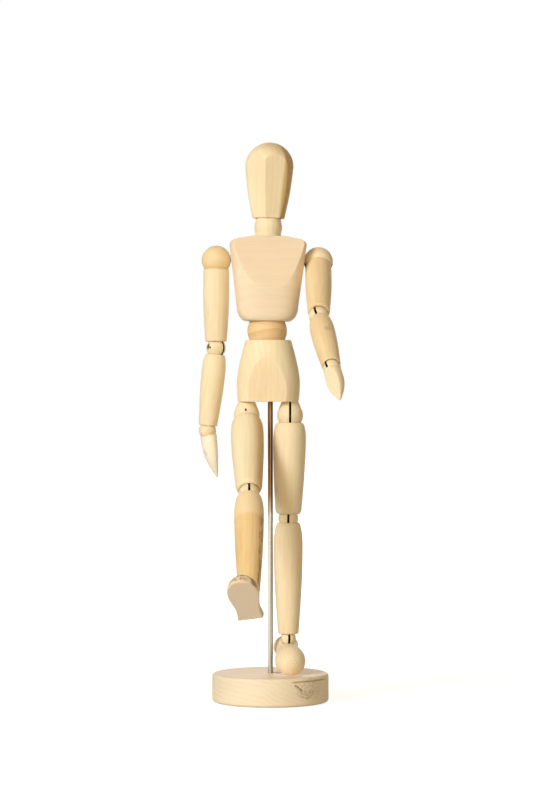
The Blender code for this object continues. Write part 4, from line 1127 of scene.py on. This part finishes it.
def make_head():
    """A tapered egg with two planed facets that meet in a ridge down the face."""
    height, radius, bottom, bulge, seat, bore_depth = 45.05, 14.3, 9.5, 0.6, NECK_SEAT, 13.0
    facet_angle, ridge_share, ridge_share_below, chin = 27.5, 0.95, 0.99, 0.15
    crown = height - radius
    outline = [(x, seat + z) for x, z in arc((0.0, crown), radius, 90.0, 0.0, 44)]
    for i in range(1, 60):
        swell = bulge * math.sin(math.pi * i / 60.0)
        outline.append((between(radius, bottom, i / 60.0) + swell, seat + crown * (1.0 - i / 60.0)))
    outline += [(bottom - 0.02, seat + SANDED_EDGE), (bottom - chin, seat)]
    cup_radius = NECK_END + CUP_GAP
    rim = rim_angle(cup_radius, seat)
    outline += arc((0.0, 0.0), cup_radius, rim, 90.0 - math.degrees(math.asin(SPINE_BORE / cup_radius)), 10)
    outline += [(SPINE_BORE, seat + bore_depth), (0.0, seat + bore_depth)]
    mesh = turned(outline, sides=288, finish=HEAD)
    across = math.cos(math.radians(facet_angle))
    low = bottom * ridge_share_below * across
    lean = math.atan2(radius * ridge_share * across - low, crown)
    for side in SIDES.values():
        flat = turn('Z', side * facet_angle).to_3x3() @ Vector((0.0, -math.cos(lean), -math.sin(lean)))
        foot = turn('Z', side * facet_angle).to_3x3() @ Vector((0.0, -low, 0.0))
        foot.z = seat
        planed(mesh, flat, flat.dot(foot), SANDED_EDGE)
    up = spot("head_turn") - spot("neck_nod")
    place = framed(spot("head_turn"), up, axis("neck_nod")) @ turn('Z', HEAD_TURN) @ turn('Y', HEAD_LEAN)
    settle("head", mesh, place, PLANED_SHARP)


# Limbs

def ball_outline(kind):
    radius = BALLS[kind][0]
    if kind != "hip":
        return arc((0.0, 0.0), radius, 90.0, -90.0, 48)
    neck, drop, bevel = 5.0, 8.1 - NECK_GAP, 0.25
    round_to = math.degrees(math.atan2(drop, neck) - math.acos(radius / math.hypot(neck, drop)))
    ball = arc((0.0, 0.0), radius, round_to, -90.0, 36)
    outline = [(0.0, drop), (neck - bevel, drop), (neck, drop - bevel)]
    return outline + line((neck, drop), ball[0], 10) + ball


def make_ball(side, kind, place, finish, slot_opens=-1.0, blind_from=0.0, back_swing=FREE_SWING,
              blind_share=PIN_BLIND_SHARE):
    """A slotted ball; blind_from is the side in X that its pin is driven in from, where the hole is blind."""
    radius = BALLS[kind][0]
    mesh = turned(ball_outline(kind), sides=72, finish=finish)
    beyond = radius * 2.2
    blind = radius * blind_share
    start = -blind if blind_from > 0.0 else -beyond
    end = blind if blind_from < 0.0 else beyond
    tools = [slot_plate(SLOT_REACH, beyond, slot_opens, back_swing),
             bar(PIN_HOLE, start, end, turn('Y', 90.0), sides=20)]
    mesh = cut(mesh, tools)
    # Faces deep inside the saw cut and pin hole take the cut's near-black painted shade
    mesh.materials.append(SAWN_SHADE)
    for face in mesh.polygons:
        if face.center.length < (radius - PAINTED_SHADE_BELOW) * MM:
            face.material_index = len(mesh.materials) - 1
    settle(side + "_" + kind + "_ball", mesh, place)


def swing_back(joint, leans_back=0.0):
    """How far the limb below a ball swings to the closed side of its slot, in degrees."""
    return leans_back - JOINTS[joint]["range_deg"][0]


def make_limb(side, kind, place, length, finish):
    above, below, belly, belly_at, tail, rounding = LIMBS[kind]
    (upper, upper_reveal), (lower, lower_reveal) = BALLS[above], BALLS[below]
    sizes = (length / MM, upper + CUP_GAP, upper_reveal, lower + CUP_GAP, lower_reveal, belly, belly_at, tail,
             rounding, RIM_LAND, SPRING_BORE)
    settings = {label: size * MM for label, size in zip(LIMB_INPUTS, sizes)}
    settings.update({"Sides": 80, "Wood": finish})
    mesh = run_tree(LIMB_TREE, bpy.data.meshes.new("start"), settings)
    settle(side + "_" + kind, mesh, place)


def make_arm(side, finishes):
    out = SIDES[side]
    shoulder = spot(side + "_arm_raise")
    elbow = spot(side + "_elbow_bend")
    wrist = spot(side + "_wrist_bend")
    pin = axis(side + "_arm_raise")
    ball = framed(shoulder, out * axis("left_shoulder_swing"), pin)
    make_ball(side, "shoulder", ball, finishes["shoulder"], blind_from=-out)
    upper = framed(shoulder, shoulder - elbow, (-out * pin).cross(shoulder - elbow))
    make_limb(side, "upper_arm", upper, (shoulder - elbow).length, finishes["upper_arm"])
    elbow_pin = -axis(side + "_elbow_bend")
    fore = framed(elbow, elbow - wrist, elbow_pin)
    make_ball(side, "elbow", fore, finishes["elbow"], back_swing=swing_back(side + "_elbow_bend"))
    make_limb(side, "forearm", fore, (elbow - wrist).length, finishes["forearm"])
    wrist_frame = framed(wrist, elbow - wrist, -axis(side + "_wrist_bend"))
    make_ball(side, "wrist", wrist_frame, finishes["wrist"], blind_from=1.0, blind_share=PIN_CAPPED_SHARE,
              back_swing=swing_back(side + "_wrist_bend", -WRIST_BEND[side]))
    make_hand(side, wrist_frame @ turn('X', -WRIST_BEND[side]), finishes["hand"])


def make_hand(side, place, finish):
    """A turned bud with a planed palm."""
    ball, reveal = BALLS["wrist"]
    length, belly, belly_at, tip, hook_depth = 28.4, 5.2, 10.5, 1.0, 7.5
    palm_at_belly, palm_at_tip = 3.5, 0.3
    cup_radius = ball + CUP_GAP
    rim = math.sqrt(cup_radius ** 2 - reveal ** 2)
    outline = []
    for i in range(15):
        angle = math.pi / 2.0 * i / 14.0
        outline.append((rim + RIM_LAND + (belly - rim - RIM_LAND) * math.sin(angle),
                        -reveal - (belly_at - reveal) * (1.0 - math.cos(angle))))
    for i in range(1, 41):
        ease = 1.0 - math.cos(math.pi / 2.0 * i / 40.0)
        outline.append((between(belly, tip, ease), between(-belly_at, -length + tip, i / 40.0)))
    outline += arc((0.0, -length + tip), tip, -15.0, -90.0, 6)
    start = -90.0 + math.degrees(math.asin(HOOK_BORE / cup_radius))
    inside = [(0.0, -ball - hook_depth), (HOOK_BORE, -ball - hook_depth)]
    inside += arc((0.0, 0.0), cup_radius, start, -rim_angle(cup_radius, reveal), 8)
    mesh = turned(inside + outline, sides=112, finish=finish)
    lean = math.atan2(palm_at_belly - palm_at_tip, length - belly_at)
    level = palm_at_belly * math.cos(lean) + belly_at * math.sin(lean)
    planed(mesh, (0.0, -math.cos(lean), -math.sin(lean)), level, SANDED_EDGE)
    settle(side + "_hand", mesh, place, PLANED_SHARP)


def make_leg(side, finishes):
    out = SIDES[side]
    hip = spot(side + "_hip_swing")
    knee = spot(side + "_knee_bend")
    ankle = spot(side + "_ankle_bend")
    hip_back = swing_back(side + "_hip_swing") if out > 0.0 else FREE_SWING
    make_ball(side, "hip", framed(hip, Vector((0.0, 0.0, 1.0)), -axis(side + "_hip_swing")), finishes["hip"],
              slot_opens=-out, back_swing=hip_back)
    thigh = framed(hip, hip - knee, -axis(side + "_hip_swing"))
    make_limb(side, "thigh", thigh, (hip - knee).length, finishes["thigh"])
    shin = framed(knee, knee - ankle, -axis(side + "_knee_bend"))
    knee_frame = framed(knee, hip - knee, -axis(side + "_knee_bend"))
    shin_down = knee_frame.to_3x3().transposed() @ (ankle - knee)
    leans_back = math.degrees(math.atan2(shin_down.y, -shin_down.z))
    make_ball(side, "knee", knee_frame, finishes["knee"],
              back_swing=swing_back(side + "_knee_bend", leans_back))
    make_limb(side, "shin", shin, (knee - ankle).length, finishes["shin"])
    ankle_frame = framed(ankle, knee - ankle, -axis(side + "_ankle_bend"))
    make_ball(side, "ankle", ankle_frame, finishes["ankle"],
              back_swing=swing_back(side + "_ankle_bend", -ANKLE_BEND[side]))
    make_foot(side, ankle_frame @ turn('X', -ANKLE_BEND[side]), finishes["foot"])


def make_foot(side, place, finish):
    """A turned bulb, waist and flare, planed flat for the sole."""
    length, waist_at, ankle_height = FOOT_LENGTH, 6.5, 12.5
    heel, waist, bulb, set_back, heel_axis = 7.5, 6.9, 8.9, 10.4, FOOT_HEEL_AXIS_HEIGHT
    bulb_at = length - set_back
    outline = []
    for i in range(41):
        angle = math.pi / 2.0 * i / 40.0
        outline.append((bulb * math.sin(angle), bulb_at + set_back * math.cos(angle)))
    for i in range(1, 41):
        ease = (1.0 - math.cos(math.pi * i / 40.0)) / 2.0
        outline.append((between(bulb, waist, ease), between(bulb_at, waist_at, i / 40.0)))
    for i in range(1, 21):
        outline.append((between(waist, heel, (i / 20.0) ** 2), waist_at * (1.0 - i / 20.0)))
    outline += [(heel - SANDED_EDGE, 0.0)] + [(heel * share, 0.0) for share in (0.75, 0.5, 0.25, 0.0)]
    mesh = turned(outline, sides=144, finish=finish)
    tilt = math.degrees(math.asin((FOOT_TOE_AXIS_HEIGHT[side] - heel_axis) / length))
    lathe = shift(0.0, waist_at, -ankle_height + heel_axis) @ turn('X', 90.0 - tilt)
    mesh.transform(lathe)
    planed(mesh, (0.0, 0.0, -1.0), ankle_height, SANDED_EDGE)
    dished(mesh, (0.0, 0.0, 0.0), BALLS["ankle"][0] + CUP_GAP, (0.0, 0.0, -1.0))
    mesh.transform(lathe.inverted())
    settle(side + "_foot", mesh, place @ lathe, PLANED_SHARP)


def dress_hardware():
    """The pins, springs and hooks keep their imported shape."""
    for name, node in NODES.items():
        if not node.hide_render:
            node.material_slots[0].material = PIN if name.endswith("_pin") else SPRING


# The room

def seen(tree, shown, lit):
    """One strength for what the eye, mirrors and glass see, another for the light it gives."""
    path = tree.nodes.new('ShaderNodeLightPath')
    eye = Value(tree, path.outputs["Is Camera Ray"])
    for ray in ("Is Glossy Ray", "Is Transmission Ray"):
        eye = eye.high(Value(tree, path.outputs[ray]))
    return lit + eye * (shown - lit)


def lamp(name, place, target, size, power, tint):
    light = bpy.data.lights.new(name, 'AREA')
    light.shape = 'DISK'
    light.size = size
    light.energy = power
    light.color = tint
    item = bpy.data.objects.new(name, light)
    item.location = place
    item.rotation_euler = (Vector(target) - Vector(place)).to_track_quat('-Z', 'Y').to_euler()
    item.visible_camera = False
    bpy.context.scene.collection.objects.link(item)


def make_world():
    """White to the eye, and a little warm light from all sides."""
    white, warm, strength = (1.0, 1.0, 1.0), (1.0, 0.74, 0.42), 0.25
    world = bpy.data.worlds.new("white_room")
    bpy.context.scene.world = world
    world.use_nodes = True
    tree = world.node_tree
    background = tree.nodes["Background"]
    tree.links.new(blended(tree, seen(tree, 1.0, 0.0), warm, white), background.inputs["Color"])
    tree.links.new(seen(tree, 1.0, strength).socket, background.inputs["Strength"])


def make_floor():
    """A pale floor that keeps the shadow and fades into the white behind the figure."""
    half, below = 6.0, -0.0003
    shown, more_far_off, fade_start, fade_end = 0.82, 0.25, 150.0, 700.0
    mesh = bpy.data.meshes.new("floor")
    corners = [(-half, -half, below), (half, -half, below), (half, half, below), (-half, half, below)]
    mesh.from_pydata(corners, [], [(0, 1, 2, 3)])
    floor = bpy.data.objects.new("floor", mesh)
    bpy.context.scene.collection.objects.link(floor)
    made, tree, shader = new_material("pale_floor", 0.9)
    shader.inputs["Base Color"].default_value = (0.6, 0.58, 0.53, 1.0)
    shader.inputs["Specular IOR Level"].default_value = 0.0
    shader.inputs["Emission Color"].default_value = (1.0, 1.0, 1.0, 1.0)
    x, y, _ = separated(tree, object_place(tree))
    far = (x * x + y * y).root().rise(fade_start, fade_end)
    glow = seen(tree, shown, 0.0) * (1.0 + far * more_far_off)
    tree.links.new(glow.socket, shader.inputs["Emission Strength"])
    mesh.materials.append(made)


def make_camera():
    lens = bpy.data.cameras.new("camera")
    lens.lens = 112.1
    lens.sensor_width = 36.0
    lens.clip_start = 0.05
    lens.clip_end = 30.0
    camera = bpy.data.objects.new("camera", lens)
    camera.location = (-0.0023, -1.480, 0.1788)
    camera.rotation_euler = (math.radians(90.0), 0.0, 0.0)
    bpy.context.scene.collection.objects.link(camera)
    bpy.context.scene.camera = camera


def make_room():
    bpy.context.scene.view_settings.view_transform = 'Standard'
    make_world()
    make_floor()
    lamp("key", (-1.8, -2.15, 1.28), (0.0, 0.0, 0.17), size=1.2, power=63.0, tint=(1.0, 1.0, 1.0))
    lamp("fill", (0.35, -1.75, 0.25), (0.0, 0.0, 0.13), size=1.0, power=10.5, tint=(1.0, 0.89, 0.68))
    lamp("back", (0.3, 2.0, 0.5), (0.0, 0.0, 0.15), size=1.2, power=8.0, tint=(1.0, 0.94, 0.82))
    make_camera()


def main():
    make_base()
    make_rod()
    make_pelvis()
    make_waist()
    make_chest()
    make_neck()
    make_head()
    plain = {kind: PLAIN for kind in (*LIMBS, *BALLS, "hand", "foot")}
    make_arm("right", {**plain, "shoulder": WARM, "elbow": GLUED_ELBOW, "hand": PALE_AND_PAINTED_LIGHT_HAND})
    make_arm("left", {**plain, "upper_arm": WARM, "forearm": FOREARM_KNOT})
    make_leg("right", {**plain, "hip": DOTTED_HIP, "thigh": RAISED_THIGH, "shin": RAISED_SHIN,
                       "foot": RAISED_TOE})
    make_leg("left", {**plain, "foot": TOE})
    dress_hardware()
    make_room()


main()
